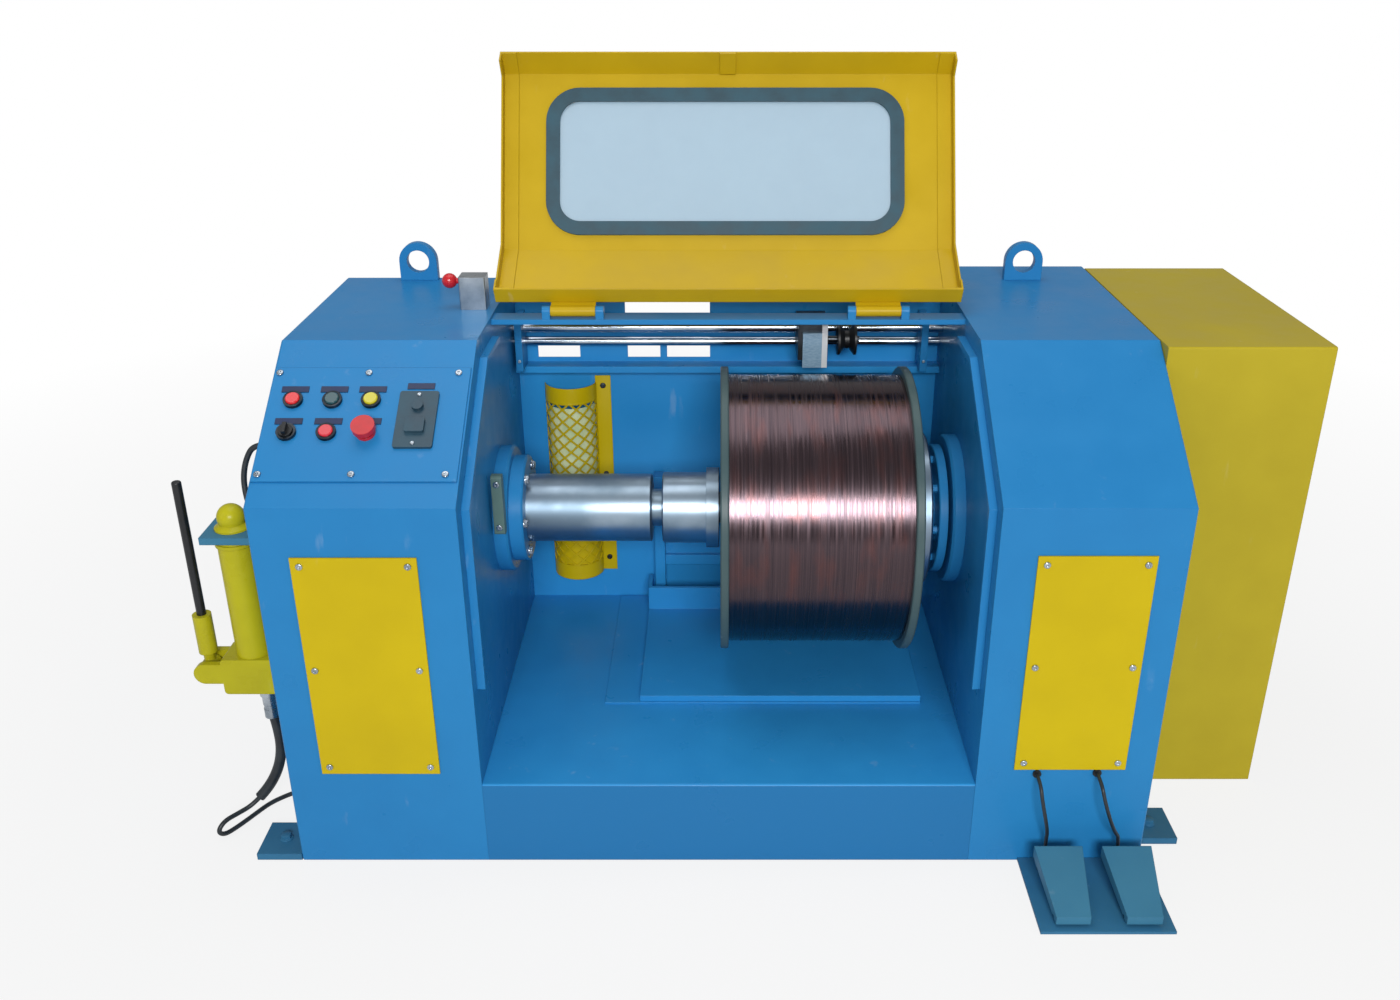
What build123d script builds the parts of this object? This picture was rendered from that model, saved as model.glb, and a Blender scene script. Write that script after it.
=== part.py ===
from build123d import *
import os
from math import asin, atan2, cos, degrees, hypot, pi, radians, sin, tan

# Wire take-up machine: spindle along X, operator side towards -Y, floor at Z = 0
# The origin is on the floor straight below the spindle line

# Overall sizes of the blue frame
frame_width = 1400.0
frame_height = 823.0
front_height = 647.0
slope_run = 259.0
spindle_setback = 372.0
spindle_height = 478.0
wall_inset = 10.0
right_depth = 737.0
well_left = -388.0
well_right = 413.0
well_floor = 153.0
sheet = 3.0
seat_gap = 0.3
moving_gap = 5.0
edge_round = 4.0

# Back wall and hinge beam
wall_gap = 6.0
back_wall_height = 660.0
back_lip_height = 10.0
back_lip_depth = 30.0
back_panel_top = 806.0
back_slot_rows = (671.0, 697.0)
back_slots = ((-349.0, -269.0), (-178.0, -116.0), (-103.0, -21.0))
back_window = (-181.0, -21.0, 758.0, 784.0)
beam_front = 390.0
beam_depth = 40.0
beam_height = 9.0
beam_drop = 5.0

# Seal ledges on both inner walls
rim_width = 13.0
rim_depth = 10.0
rim_recess = 32.0
rim_foot = 315.0

# Yellow drive box on the right end
drive_width = 265.0
drive_front = 220.0
drive_back = 725.0

# Access panels and the control panel
panel_low_left = 177.0
panel_high_left = 567.0
panel_left_x = (-643.0, -453.0)
panel_low_right = 185.0
panel_high_right = 570.0
panel_right_x = (472.0, 651.0)
control_low = 45.0
control_high = 256.0
control_inset = 3.0
control_columns = (-658.0, -597.5, -538.0)
control_rows = (132.0, 192.0)
bezel_radius = 15.0
bezel_height = 6.0
button_radius = 11.0
button_height = 9.0
button_chamfer = 1.5
selector_bar = (6.0, 18.0)
selector_bar_height = 8.0
stop_radius = 18.0
stop_height = 22.0
stop_cap = 10.0
stop_stem_radius = 9.0
plate_label_width = 42.0
plate_label_height = 11.0
plate_label_thickness = 1.5
plate_label_offset = 21.0
socket_x = -464.0
socket_width = 60.0
socket_height = 104.0
socket_center = 155.0
socket_thickness = 5.0
socket_label_gap = 12.0
socket_corner = 4.0
socket_light_rise = 23.0
socket_light_radius = 9.0
socket_outlet = (30.0, 26.0)
socket_outlet_drop = 14.0
socket_outlet_height = 6.0

# Lifting lugs
lug_x = 560.0
lug_radius = 34.5
lug_hole_radius = 20.5
lug_center_rise = 35.0
lug_thickness = 16.0

# Foot plates
foot_reach = 75.0
foot_length = 82.0
foot_thickness = 12.0
foot_hole_radius = 9.0
foot_left_sets = (0.0, 560.0)
foot_right_sets = (40.0,)

# Reel, winding and spindle
reel_left = -1.0
flange_width = 14.0
flange_web = 5.0
reel_inner_width = 299.0
flange_radius = 250.0
rim_bead = 9.0
barrel_radius = 110.0
bore_radius = 28.0
winding_radius = 237.0
winding_crown = 3.0
winding_shoulder = 12.0
hub_top = 6.0
hub_foot = 18.0
drive_disc_radius = 136.0
drive_disc_width = 31.0
spindle_neck_radius = 60.0
spindle_neck = 14.0
spindle_flange_radius = 113.0
spindle_flange_width = 15.0
spindle_shaft_radius = 40.0
spindle_shaft_length = 220.0
bearing_gap = 5.0
pintle_length = 40.0
bolt_ring_radius = 92.0
bolt_count = 8
bolt_radius = 7.0
bolt_length = 8.0

# Bearing housings on the inner walls
right_ring_radius = 131.0
left_hub_radius = 112.0
left_hub_boss_radius = 94.0
left_hub_flange = 24.0
left_hub_length = 48.0
bush_clearance = 0.3

# Quill, which slides along the spindle line to let the reel go
quill_radius = 60.0
quill_end = -122.0
quill_length = 438.0
quill_stroke = 120.0
shaft_pocket = 5.0
neck_radius = 33.0
neck_length = 18.7
nose_radius = 63.0
nose_length = 77.0
collar_radius = 71.5
collar_length = 22.7
nose_gap = 0.3
nose_pilot = 25.0
pilot_gap = 5.0
clamp_inset = 6.0
clamp_width = 18.0
clamp_depth = 18.0
clamp_height = 107.0
clamp_rise = 8.0

# Traverse: two rods, brackets, carriage and guide pulley
rod_radius = 9.0
lower_rod_depth = 622.0
lower_rod_height = 709.0
upper_rod_depth = 600.0
upper_rod_height = 742.0
bracket_thickness = 13.0
bracket_left = -382.0
bracket_right = 371.0
bracket_margin = 24.0
bracket_back = 12.0
carriage_left = 141.0
carriage_width = 54.0
carriage_wall = 5.0
carriage_back = 12.0
carriage_below = 13.0
carriage_above = 22.0
pulley_radius = 29.0
pulley_width = 34.0
pulley_gap = 18.0
pulley_clearance = 6.0
pulley_drop = 9.0
pulley_groove = 12.0
pulley_rim = 4.0
pulley_shaft_radius = 6.0
pulley_shaft_end = 6.0
hanger_left = 149.0
hanger_width = 45.0
hanger_rib = 10.0
hanger_thickness = 8.0
hanger_below = 12.0
hanger_down_from_top = 15.0

# Half-round guard on the back wall
guard_x = -290.0
guard_radius = 50.0
guard_sheet = 3.0
guard_low = 216.0
guard_high = 623.0
guard_flange = 30.0
guard_flange_rise = 12.0
guard_band = 30.0
guard_arc = 160.0
guard_columns = 5
guard_rows = 12
guard_strand = 5.0

# Lift table that carries the reel in and out
lift_left = -145.0
lift_right = 357.0
lift_front = 238.0
lift_back = 555.0
lift_plate = 12.0
lift_base = 3.0
lift_base_left = -208.0
lift_upstand = 48.0
lift_upstand_thickness = 8.0
post_width = 20.0
post_depth = 28.0
post_left = -133.0
post_right = 333.0
post_height = 280.0
post_inset = 6.0
mast_panel_low = 80.0
mast_panel_high = 264.0
mast_panel_thickness = 6.0
mast_lip_height = 22.0
mast_lip_depth = 10.0

# Cover with its window
cover_side_gap = 6.0
cover_top = 3.0
hinge_depth = 400.0
hinge_rise = 7.0
hinge_edge = 17.0
cover_open = 150.0
cover_lip = 45.0
cover_side_lip = 24.0
cover_back_lip = 30.0
cover_hem = 28.0
hem_thickness = 2.0
strap_width = 28.0
strap_x = 12.0
seal_margin = 27.0
seal_margin_left = 76.0
seal_margin_right = 86.0
seal_width = 24.0
seal_corner = 60.0
seal_lip = 5.0
pane_tuck = 8.0
pane_thickness = 5.0
hinge_leaf_width = 104.0
hinge_leaf_x = (-250.0, 266.0)
hinge_pin_radius = 5.0
hinge_barrel_radius = 9.0
hinge_knuckle_width = 14.0
hinge_strap = 26.0

# Latch at the left end of the cover
latch_x = (-447.0, -402.0)
latch_depth = 38.0
latch_height = 56.0
latch_front = 432.0
knob_radius = 13.0
knob_height = 46.0
knob_stem = 5.0
knob_stem_radius = 5.0
ball_steps = 9

# Hand pump on the left side
pump_depth = 125.0
pump_cylinder_x = -772.0
pump_cylinder_radius = 28.0
pump_cylinder_high = 566.0
pump_cap_radius = 22.0
pump_cap_height = 575.0
pump_ring_height = 530.0
pump_ring_width = 6.0
pump_block_left = -820.0
pump_block_low = 265.0
pump_block_high = 330.0
pump_block_depth = 60.0
pump_fork_reach = 20.0
pump_ear = 12.0
pump_pivot_x = -848.0
pump_pivot_height = 303.0
pump_pin_radius = 6.0
pump_ear_radius = 18.0
lever_eye_radius = 15.0
lever_eye_width = 24.0
lever_socket_radius = 15.0
lever_neck_radius = 9.0
lever_socket_top = 400.0
lever_radius = 7.5
lever_top = 636.0
pump_bracket_low = 545.0
pump_bracket_thickness = 12.0
pump_bracket_margin = 12.0

# Foot pedals in front of the right housing
pedal_plate_x = (495.0, 706.0)
pedal_plate_front = 172.0
pedal_plate_thickness = 5.0
pedal_x = ((508.0, 586.0), (618.0, 698.0))
pedal_taper = 12.0
pedal_front = 162.0
pedal_rear = 42.0
pedal_toe = 64.0
pedal_heel = 24.0
pedal_skin = 4.0
pedal_skirt = 20.0
pedal_foot_gap = 10.0
pedal_pin_radius = 3.0
pedal_pin_set = 14.0
pedal_pin_height = 14.0
pedal_ear_radius = 5.0
pedal_ear_width = 8.0
pedal_block_height = 18.0
pedal_block_inset = 17.0
pedal_block_front = 50.0
gland_block_depth = 20.0
gland_block_height = 28.0
gland_block_width = 26.0
gland_radius = 6.0
gland_top = 36.0

# Grommets and cords, with hand-laid routes: x, distance behind the front plates, z
grommet_radius = 7.0
grommet_height = 3.0
pedal_cord_radius = 3.0
pump_hose_radius = 9.0
pump_line_radius = 4.0
pump_return_radius = 4.5
pedal_cord_left_route = [
    (510, -3, 176), (510, -29, 176), (513, -40, 151), (521, -42, 117),
    (529, -34, 86), (533, -20, 62), (533, -20, 36),
]
pedal_cord_right_route = [
    (607, -3, 178), (607, -29, 178), (612, -41, 153), (623, -45, 120),
    (637, -38, 88), (652, -20, 64), (652, -20, 36),
]
pump_hose_route = [
    (-761, 125, 265), (-761, 125, 226), (-755, 125, 182), (-754, 124, 138),
    (-764, 121, 98), (-784, 115, 62), (-800, 109, 46),
]
pump_line_route = [
    (-800, 109, 46), (-814, 103.75, 32), (-832, 84, 30), (-848, 62, 31), (-857, 50, 18),
    (-851, 58, 4.5), (-836, 79, 4.5), (-818, 112, 4.5), (-800, 146, 4.5), (-770, 172, 5),
    (-735, 187, 8), (-703, 187, 8),
]
pump_return_route = [
    (-738, 125, 557), (-738, 125, 583), (-744, 128, 612), (-745, 133, 641),
    (-738, 138, 669), (-724, 141, 691), (-703, 141, 691),
]

# Derived places
front = -spindle_setback
back_wall_depth = max(lower_rod_depth, upper_rod_depth) + carriage_back + wall_gap
left_depth = back_wall_depth + wall_inset
post_front = back_wall_depth - post_inset - post_depth
left_end = -frame_width / 2
right_end = frame_width / 2
slope_angle = degrees(atan2(frame_height - front_height, slope_run))
slope_length = hypot(slope_run, frame_height - front_height)
reel_right = reel_left + 2 * flange_width + reel_inner_width
disc_end = reel_right + drive_disc_width
spindle_flange_end = disc_end + spindle_neck + spindle_flange_width
ring_start = spindle_flange_end + bearing_gap


def box(x0, x1, y0, y1, z0, z1, mode=Mode.ADD):
    """A block between two corners, placed by its own sketch plane."""
    with BuildSketch(Plane.XY.offset(z0)) as base:
        with Locations(((x0 + x1) / 2, (y0 + y1) / 2)):
            Rectangle(x1 - x0, y1 - y0)
    extrude(base.sketch, amount=z1 - z0, mode=mode)


def rod(x0, x1, y, z, radius, mode=Mode.ADD):
    """A round bar along X."""
    with BuildSketch(Plane.YZ.offset(x0)) as section:
        with Locations((y, z)):
            Circle(radius)
    extrude(section.sketch, amount=x1 - x0, mode=mode)


def turned(points, mode=Mode.ADD):
    """A turned shape about the spindle line from (x, radius) corners."""
    axis_plane = Plane(origin=(0, 0, spindle_height), x_dir=(1, 0, 0), z_dir=(0, -1, 0))
    with BuildSketch(axis_plane) as section:
        with BuildLine():
            Polyline(*points, close=True)
        make_face()
    revolve(section.sketch, axis=Axis((0, 0, spindle_height), (1, 0, 0)), mode=mode)


def side_outline(depth):
    """Corners of a housing's side: upright front, slope and flat top."""
    return [
        (front, 0),
        (front, front_height),
        (front + slope_run, frame_height),
        (front + depth, frame_height),
        (front + depth, 0),
    ]


slope_plane = Plane(
    origin=(0, front, front_height),
    x_dir=(1, 0, 0),
    z_dir=(0, -sin(radians(slope_angle)), cos(radians(slope_angle))),
)

# Left housing, bored for the quill
with BuildPart() as left_housing:
    with BuildSketch(Plane.YZ.offset(left_end)):
        with BuildLine():
            Polyline(*side_outline(left_depth), close=True)
        make_face()
    extrude(amount=well_left - left_end)
    fillet(left_housing.edges().filter_by(GeomType.LINE).group_by(Axis.X)[0], edge_round)
    rod(quill_end - quill_length - quill_stroke - moving_gap, well_left, 0, spindle_height,
        quill_radius + shaft_pocket, Mode.SUBTRACT)

# Right housing, bored for the spindle shaft
with BuildPart() as right_housing:
    with BuildSketch(Plane.YZ.offset(well_right)):
        with BuildLine():
            Polyline(*side_outline(right_depth), close=True)
        make_face()
    extrude(amount=right_end - well_right)
    fillet(right_housing.edges().filter_by(GeomType.LINE).group_by(Axis.X)[-1], edge_round)
    rod(well_right, spindle_flange_end + spindle_shaft_length + moving_gap, 0, spindle_height,
        spindle_shaft_radius + shaft_pocket, Mode.SUBTRACT)

# Base between the walls, with a rolled front edge
with BuildPart() as base_pan:
    box(well_left, well_right, front, front + left_depth, 0, well_floor)
    fillet(base_pan.edges().filter_by(Axis.X).group_by(Axis.Z)[-1].sort_by(Axis.Y)[0], edge_round)

# Back wall with a folded ledge, and a slotted sheet that closes the back behind the rods
with BuildPart() as back_wall:
    wall_y = front + back_wall_depth
    with BuildSketch(Plane.YZ.offset(well_left)):
        with BuildLine():
            Polyline(
                (wall_y, well_floor),
                (wall_y, back_wall_height),
                (wall_y - back_lip_depth, back_wall_height),
                (wall_y - back_lip_depth, back_wall_height - back_lip_height),
                (wall_y - back_lip_depth - sheet, back_wall_height - back_lip_height),
                (wall_y - back_lip_depth - sheet, back_wall_height + sheet),
                (wall_y, back_wall_height + sheet),
                (wall_y, back_panel_top),
                (wall_y + sheet, back_panel_top),
                (wall_y + sheet, well_floor),
                close=True,
            )
        make_face()
    extrude(amount=well_right - well_left)
    for left, right in back_slots:
        box(left, right, wall_y, wall_y + sheet, *back_slot_rows, Mode.SUBTRACT)
    box(*back_window[:2], wall_y, wall_y + sheet, *back_window[2:], Mode.SUBTRACT)

# Beam that carries the cover, with a knuckle each side of both hinge barrels
beam_top = frame_height - beam_drop
hinge_y = front + hinge_depth
hinge_z = frame_height + hinge_rise
barrel_half = hinge_leaf_width / 2 - hinge_knuckle_width
with BuildPart() as hinge_beam:
    box(well_left, well_right, front + beam_front, front + beam_front + beam_depth,
        beam_top - beam_height, beam_top)
    box(well_left, well_right, front + beam_front + sheet, front + beam_front + beam_depth - sheet,
        beam_top - beam_height, beam_top - sheet, Mode.SUBTRACT)
    for x in hinge_leaf_x:
        for start in (x - hinge_leaf_width / 2, x + barrel_half + seat_gap):
            with BuildSketch(Plane.YZ.offset(start)):
                with Locations((hinge_y, hinge_z)):
                    Circle(hinge_barrel_radius)
                with Locations((hinge_y, (beam_top + hinge_z) / 2)):
                    Rectangle(2 * hinge_barrel_radius, hinge_z - beam_top)
            extrude(amount=hinge_knuckle_width - seat_gap)
        rod(x - hinge_leaf_width / 2, x + hinge_leaf_width / 2, hinge_y, hinge_z, hinge_pin_radius)


def rim_outline(recess):
    """Corner points of a line set in from the housing's front, slope and top."""
    drop = recess / cos(radians(slope_angle))
    rise = (frame_height - front_height) / slope_run
    low = front_height - drop + recess * rise
    bend = slope_run + (drop - recess) / rise
    return [
        (front + recess, rim_foot),
        (front + recess, low),
        (front + bend, frame_height - recess),
        (front + beam_front - moving_gap, frame_height - recess),
    ]


def rim_strip(x0):
    """One ledge, a strip that follows the opening's outline."""
    outer = rim_outline(rim_recess)
    inner = rim_outline(rim_recess + rim_depth)
    with BuildSketch(Plane.YZ.offset(x0)) as outline:
        with BuildLine():
            Polyline(*outer, *reversed(inner), close=True)
        make_face()
    extrude(outline.sketch, amount=rim_width)


with BuildPart() as rim_strips:
    rim_strip(well_left)
    rim_strip(well_right - rim_width)


with BuildPart() as access_panels:
    box(*panel_left_x, front - sheet, front, panel_low_left, panel_high_left)
    box(*panel_right_x, front - sheet, front, panel_low_right, panel_high_right)

# Control panel on the left slope
control_left = left_end + control_inset
control_right = well_left - control_inset
with BuildPart() as control_panel:
    with BuildSketch(slope_plane):
        with Locations(((control_left + control_right) / 2, (control_low + control_high) / 2)):
            Rectangle(control_right - control_left, control_high - control_low)
    extrude(amount=sheet)

panel_face = slope_plane.offset(sheet)
button_places = [
    (control_columns[0], control_rows[1]),
    (control_columns[1], control_rows[1]),
    (control_columns[2], control_rows[1]),
    (control_columns[1], control_rows[0]),
]
selector_place = (control_columns[0], control_rows[0])
stop_place = (control_columns[2], control_rows[0])

with BuildPart() as button_bezels:
    with BuildSketch(panel_face):
        with Locations(*button_places, selector_place):
            Circle(bezel_radius)
            Circle(button_radius + seat_gap, mode=Mode.SUBTRACT)
    extrude(amount=bezel_height)

with BuildPart() as push_buttons:
    with BuildSketch(panel_face):
        with Locations(*button_places):
            Circle(button_radius)
    extrude(amount=button_height)
    outward = Axis(slope_plane.origin, slope_plane.z_dir)
    chamfer(push_buttons.faces().sort_by(outward)[-len(button_places):].edges(), button_chamfer)

with BuildPart() as selector_switch:
    with BuildSketch(panel_face):
        with Locations(selector_place):
            Circle(button_radius)
    extrude(amount=button_height)
    with BuildSketch(panel_face.offset(button_height)):
        with Locations(selector_place):
            Rectangle(*selector_bar)
    extrude(amount=selector_bar_height)

with BuildPart() as emergency_stop:
    with BuildSketch(panel_face):
        with Locations(stop_place):
            Circle(bezel_radius)
    extrude(amount=bezel_height)
    with BuildSketch(panel_face.offset(bezel_height)):
        with Locations(stop_place):
            Circle(stop_stem_radius)
    extrude(amount=stop_height - bezel_height)
    with BuildSketch(panel_face.offset(stop_height - stop_cap)):
        with Locations(stop_place):
            Circle(stop_radius)
    extrude(amount=stop_cap)

label_places = [(x, s + plate_label_offset) for x in control_columns for s in control_rows]
label_places.append((socket_x, socket_center + socket_height / 2 + socket_label_gap))
with BuildPart() as legend_plates:
    with BuildSketch(panel_face):
        with Locations(*label_places):
            Rectangle(plate_label_width, plate_label_height)
    extrude(amount=plate_label_thickness)

with BuildPart() as socket_plate:
    with BuildSketch(panel_face):
        with Locations((socket_x, socket_center)):
            RectangleRounded(socket_width, socket_height, socket_corner)
    extrude(amount=socket_thickness)
    with BuildSketch(panel_face.offset(socket_thickness)):
        with Locations((socket_x, socket_center + socket_light_rise)):
            Circle(socket_light_radius)
        with Locations((socket_x, socket_center - socket_outlet_drop)):
            RectangleRounded(*socket_outlet, socket_corner)
    extrude(amount=socket_outlet_height)


def lifting_lug(x):
    """An eye plate with straight sides and a round top."""
    y = front + back_wall_depth
    with BuildSketch(Plane.XZ.offset(-y - lug_thickness / 2)) as plate:
        with Locations((x, frame_height + lug_center_rise)):
            Circle(lug_radius)
        with Locations((x, frame_height + lug_center_rise / 2)):
            Rectangle(2 * lug_radius, lug_center_rise)
        with Locations((x, frame_height + lug_center_rise)):
            Circle(lug_hole_radius, mode=Mode.SUBTRACT)
    extrude(plate.sketch, amount=lug_thickness)


with BuildPart() as lifting_lugs:
    for x in (-lug_x, lug_x):
        lifting_lug(x)

# Yellow drive box
with BuildPart() as drive_box:
    box(right_end, right_end + drive_width, front + drive_front, front + drive_back, 0, frame_height)
    fillet(drive_box.edges().filter_by(Axis.X).group_by(Axis.Z)[-1], edge_round)

# Foot plates with one anchor hole each
foot_places = [(-1, front + set_back) for set_back in foot_left_sets]
foot_places += [(1, front + set_back) for set_back in foot_right_sets]
with BuildPart() as foot_plates:
    for side, y in foot_places:
        x = side * (frame_width + foot_reach) / 2
        with BuildSketch():
            with Locations((x, y + foot_length / 2)):
                Rectangle(foot_reach, foot_length)
            with Locations((x, y + foot_length / 2)):
                Circle(foot_hole_radius, mode=Mode.SUBTRACT)
        extrude(amount=foot_thickness)

# Bearing housings
with BuildPart() as left_bearing_housing:
    turned([
        (well_left, quill_radius + bush_clearance),
        (well_left, left_hub_radius),
        (well_left + left_hub_flange - 4, left_hub_radius),
        (well_left + left_hub_flange, left_hub_radius - 4),
        (well_left + left_hub_flange, left_hub_boss_radius),
        (well_left + left_hub_length - 3, left_hub_boss_radius),
        (well_left + left_hub_length, left_hub_boss_radius - 3),
        (well_left + left_hub_length, quill_radius + bush_clearance),
    ])

with BuildPart() as right_bearing_housing:
    turned([
        (ring_start, spindle_shaft_radius + bush_clearance),
        (ring_start, right_ring_radius - 4),
        (ring_start + 4, right_ring_radius),
        (well_right, right_ring_radius),
        (well_right, spindle_shaft_radius + bush_clearance),
    ])

with BuildPart() as quill_clamp:
    clamp_x = well_left + clamp_inset
    box(clamp_x, clamp_x + clamp_width, -left_hub_radius - clamp_depth, -left_hub_radius,
        spindle_height + clamp_rise, spindle_height + clamp_rise + clamp_height)
    fillet(quill_clamp.edges().filter_by(Axis.X), 5)

# Quill and the live centre on its end
with BuildPart() as quill:
    turned([
        (quill_end - quill_length, 0),
        (quill_end - quill_length, quill_radius),
        (quill_end - 2, quill_radius),
        (quill_end, quill_radius - 2),
        (quill_end, neck_radius - 8),
        (quill_end - nose_pilot - pilot_gap, neck_radius - 8),
        (quill_end - nose_pilot - pilot_gap, 0),
    ])

neck_start = quill_end + nose_gap
nose_start = neck_start + neck_length
collar_start = nose_start + nose_length
collar_end = collar_start + collar_length
with BuildPart() as quill_nose:
    turned([
        (neck_start - nose_pilot, 0),
        (neck_start - nose_pilot, neck_radius - 8 - bush_clearance),
        (neck_start, neck_radius - 8 - bush_clearance),
        (neck_start, neck_radius),
        (nose_start, neck_radius),
        (nose_start, nose_radius - 2),
        (nose_start + 2, nose_radius),
        (collar_start, nose_radius),
        (collar_start, collar_radius),
        (collar_end - 1, collar_radius),
        (collar_end, collar_radius - 1),
        (collar_end, bore_radius - bush_clearance),
        (reel_left + pintle_length - 6, bore_radius - bush_clearance),
        (reel_left + pintle_length, bore_radius - 8),
        (reel_left + pintle_length, 0),
    ])


def reel_flange(x0, outward):
    """A pressed steel disc with a rolled rim; outward is the sign of its outer side."""
    outer = x0 if outward < 0 else x0 + flange_width
    inner = x0 + flange_width if outward < 0 else x0
    web = inner + outward * flange_web
    turned([
        (inner, bore_radius),
        (inner, flange_radius - 2),
        (inner + outward * 2, flange_radius),
        (outer - outward * 2, flange_radius),
        (outer, flange_radius - 2),
        (outer, flange_radius - rim_bead),
        (web, flange_radius - rim_bead),
        (web, collar_radius + hub_foot),
        (outer, collar_radius + hub_top),
        (outer, bore_radius),
    ])


with BuildPart() as reel_flange_left:
    reel_flange(reel_left, -1)

with BuildPart() as reel_flange_right:
    reel_flange(reel_right - flange_width, 1)

winding_left = reel_left + flange_width
winding_right = reel_right - flange_width
with BuildPart() as wire_winding:
    turned([
        (winding_left, bore_radius),
        (winding_left, winding_radius - winding_crown),
        (winding_left + winding_shoulder, winding_radius),
        (winding_right - winding_shoulder, winding_radius),
        (winding_right, winding_radius - winding_crown),
        (winding_right, bore_radius),
    ])

with BuildPart() as drive_disc:
    turned([
        (reel_right, 0),
        (reel_right, drive_disc_radius),
        (disc_end - 3, drive_disc_radius),
        (disc_end, drive_disc_radius - 3),
        (disc_end, 0),
    ])

with BuildPart() as spindle_flange:
    flange_start = disc_end + spindle_neck
    turned([
        (disc_end, 0),
        (disc_end, spindle_neck_radius),
        (flange_start, spindle_neck_radius),
        (flange_start, spindle_flange_radius - 2),
        (flange_start + 2, spindle_flange_radius),
        (spindle_flange_end, spindle_flange_radius),
        (spindle_flange_end, spindle_shaft_radius),
        (spindle_flange_end + spindle_shaft_length, spindle_shaft_radius),
        (spindle_flange_end + spindle_shaft_length, 0),
    ])
    with BuildSketch(Plane.YZ.offset(flange_start)):
        with Locations((0, spindle_height)):
            with PolarLocations(bolt_ring_radius, bolt_count):
                RegularPolygon(bolt_radius, 6)
    extrude(amount=-bolt_length)

# Traverse: everything that rides on the rods, or carries them, is placed from the rods
lower_rod = (front + lower_rod_depth, lower_rod_height)
upper_rod = (front + upper_rod_depth, upper_rod_height)
rod_front, rod_back = sorted((lower_rod[0], upper_rod[0]))
rod_low, rod_high = sorted((lower_rod[1], upper_rod[1]))
with BuildPart() as traverse_rods:
    for y, z in (lower_rod, upper_rod):
        rod(well_left, well_right, y, z, rod_radius)


def rod_block(x0, x1, low, high, clearance):
    """A block between two (y, z) corners, with a hole for each rod."""
    box(x0, x1, low[0], high[0], low[1], high[1])
    for y, z in (lower_rod, upper_rod):
        rod(x0, x1, y, z, rod_radius + clearance, Mode.SUBTRACT)


# End plates for the rods, which stand on the back wall's ledge
with BuildPart() as traverse_brackets:
    for x in (bracket_left, bracket_right):
        rod_block(x, x + bracket_thickness,
                  (rod_front - bracket_margin, back_wall_height + sheet),
                  (rod_back + bracket_back, rod_high + bracket_margin), 0)

carriage_right = carriage_left + carriage_width
pulley_left = carriage_right + pulley_gap
pulley_y = rod_front - rod_radius - pulley_clearance - pulley_radius
pulley_z = rod_high - pulley_drop
carriage_front = pulley_y - pulley_shaft_radius - carriage_wall
carriage_low = rod_low - carriage_below
carriage_high = rod_high + carriage_above
with BuildPart() as traverse_carriage:
    rod_block(carriage_left, carriage_right, (carriage_front, carriage_low),
              (rod_back + carriage_back, carriage_high), bush_clearance)
    rod(carriage_right, pulley_left + pulley_width + pulley_shaft_end, pulley_y, pulley_z,
        pulley_shaft_radius)

# Plate on the carriage's front, with a taller rib at its right side
with BuildPart() as carriage_plate:
    plate_y = carriage_front - hanger_thickness
    reel_top = spindle_height + (flange_radius**2 - plate_y**2) ** 0.5
    hanger_low = max(carriage_low - hanger_below, reel_top + moving_gap)
    rib_left = hanger_left + hanger_width - hanger_rib
    box(hanger_left, rib_left, plate_y, carriage_front, hanger_low, carriage_high - hanger_down_from_top)
    box(rib_left, rib_left + hanger_rib, plate_y, carriage_front, hanger_low, carriage_high)

with BuildPart() as guide_pulley:
    pulley_plane = Plane(origin=(0, pulley_y, pulley_z), x_dir=(1, 0, 0), z_dir=(0, -1, 0))
    mid = pulley_left + pulley_width / 2
    hole = pulley_shaft_radius + bush_clearance
    with BuildSketch(pulley_plane):
        with BuildLine():
            Polyline(
                (pulley_left, hole),
                (pulley_left, pulley_radius),
                (pulley_left + pulley_rim, pulley_radius),
                (mid - pulley_rim, pulley_radius - pulley_groove),
                (mid + pulley_rim, pulley_radius - pulley_groove),
                (pulley_left + pulley_width - pulley_rim, pulley_radius),
                (pulley_left + pulley_width, pulley_radius),
                (pulley_left + pulley_width, hole),
                close=True,
            )
        make_face()
    revolve(axis=Axis((0, pulley_y, pulley_z), (1, 0, 0)))

# Half-round guard of rolled sheet, pierced with rows of diamonds between two plain bands
guard_y = front + back_wall_depth
guard_step = radians(guard_arc) / (2 * guard_columns)
diamond_pitch = (guard_high - guard_low - 2 * guard_band) / guard_rows
diamond_width = 2 * guard_radius * guard_step - guard_strand
diamond_height = diamond_pitch - guard_strand


def pierce_column(turn, count):
    """A column of diamond holes through the guard, at an angle from its front line."""
    outward = Vector(sin(turn), -cos(turn), 0)
    origin = (guard_x + outward.X * guard_radius, guard_y + outward.Y * guard_radius,
              (guard_low + guard_high) / 2)
    with BuildSketch(Plane(origin=origin, x_dir=(0, 0, 1), z_dir=outward)) as holes:
        with GridLocations(diamond_pitch, 0, count, 1):
            Polygon(
                (-diamond_height / 2, 0), (0, -diamond_width / 2),
                (diamond_height / 2, 0), (0, diamond_width / 2),
            )
    extrude(holes.sketch, amount=4 * guard_sheet, both=True, mode=Mode.SUBTRACT)


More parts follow.
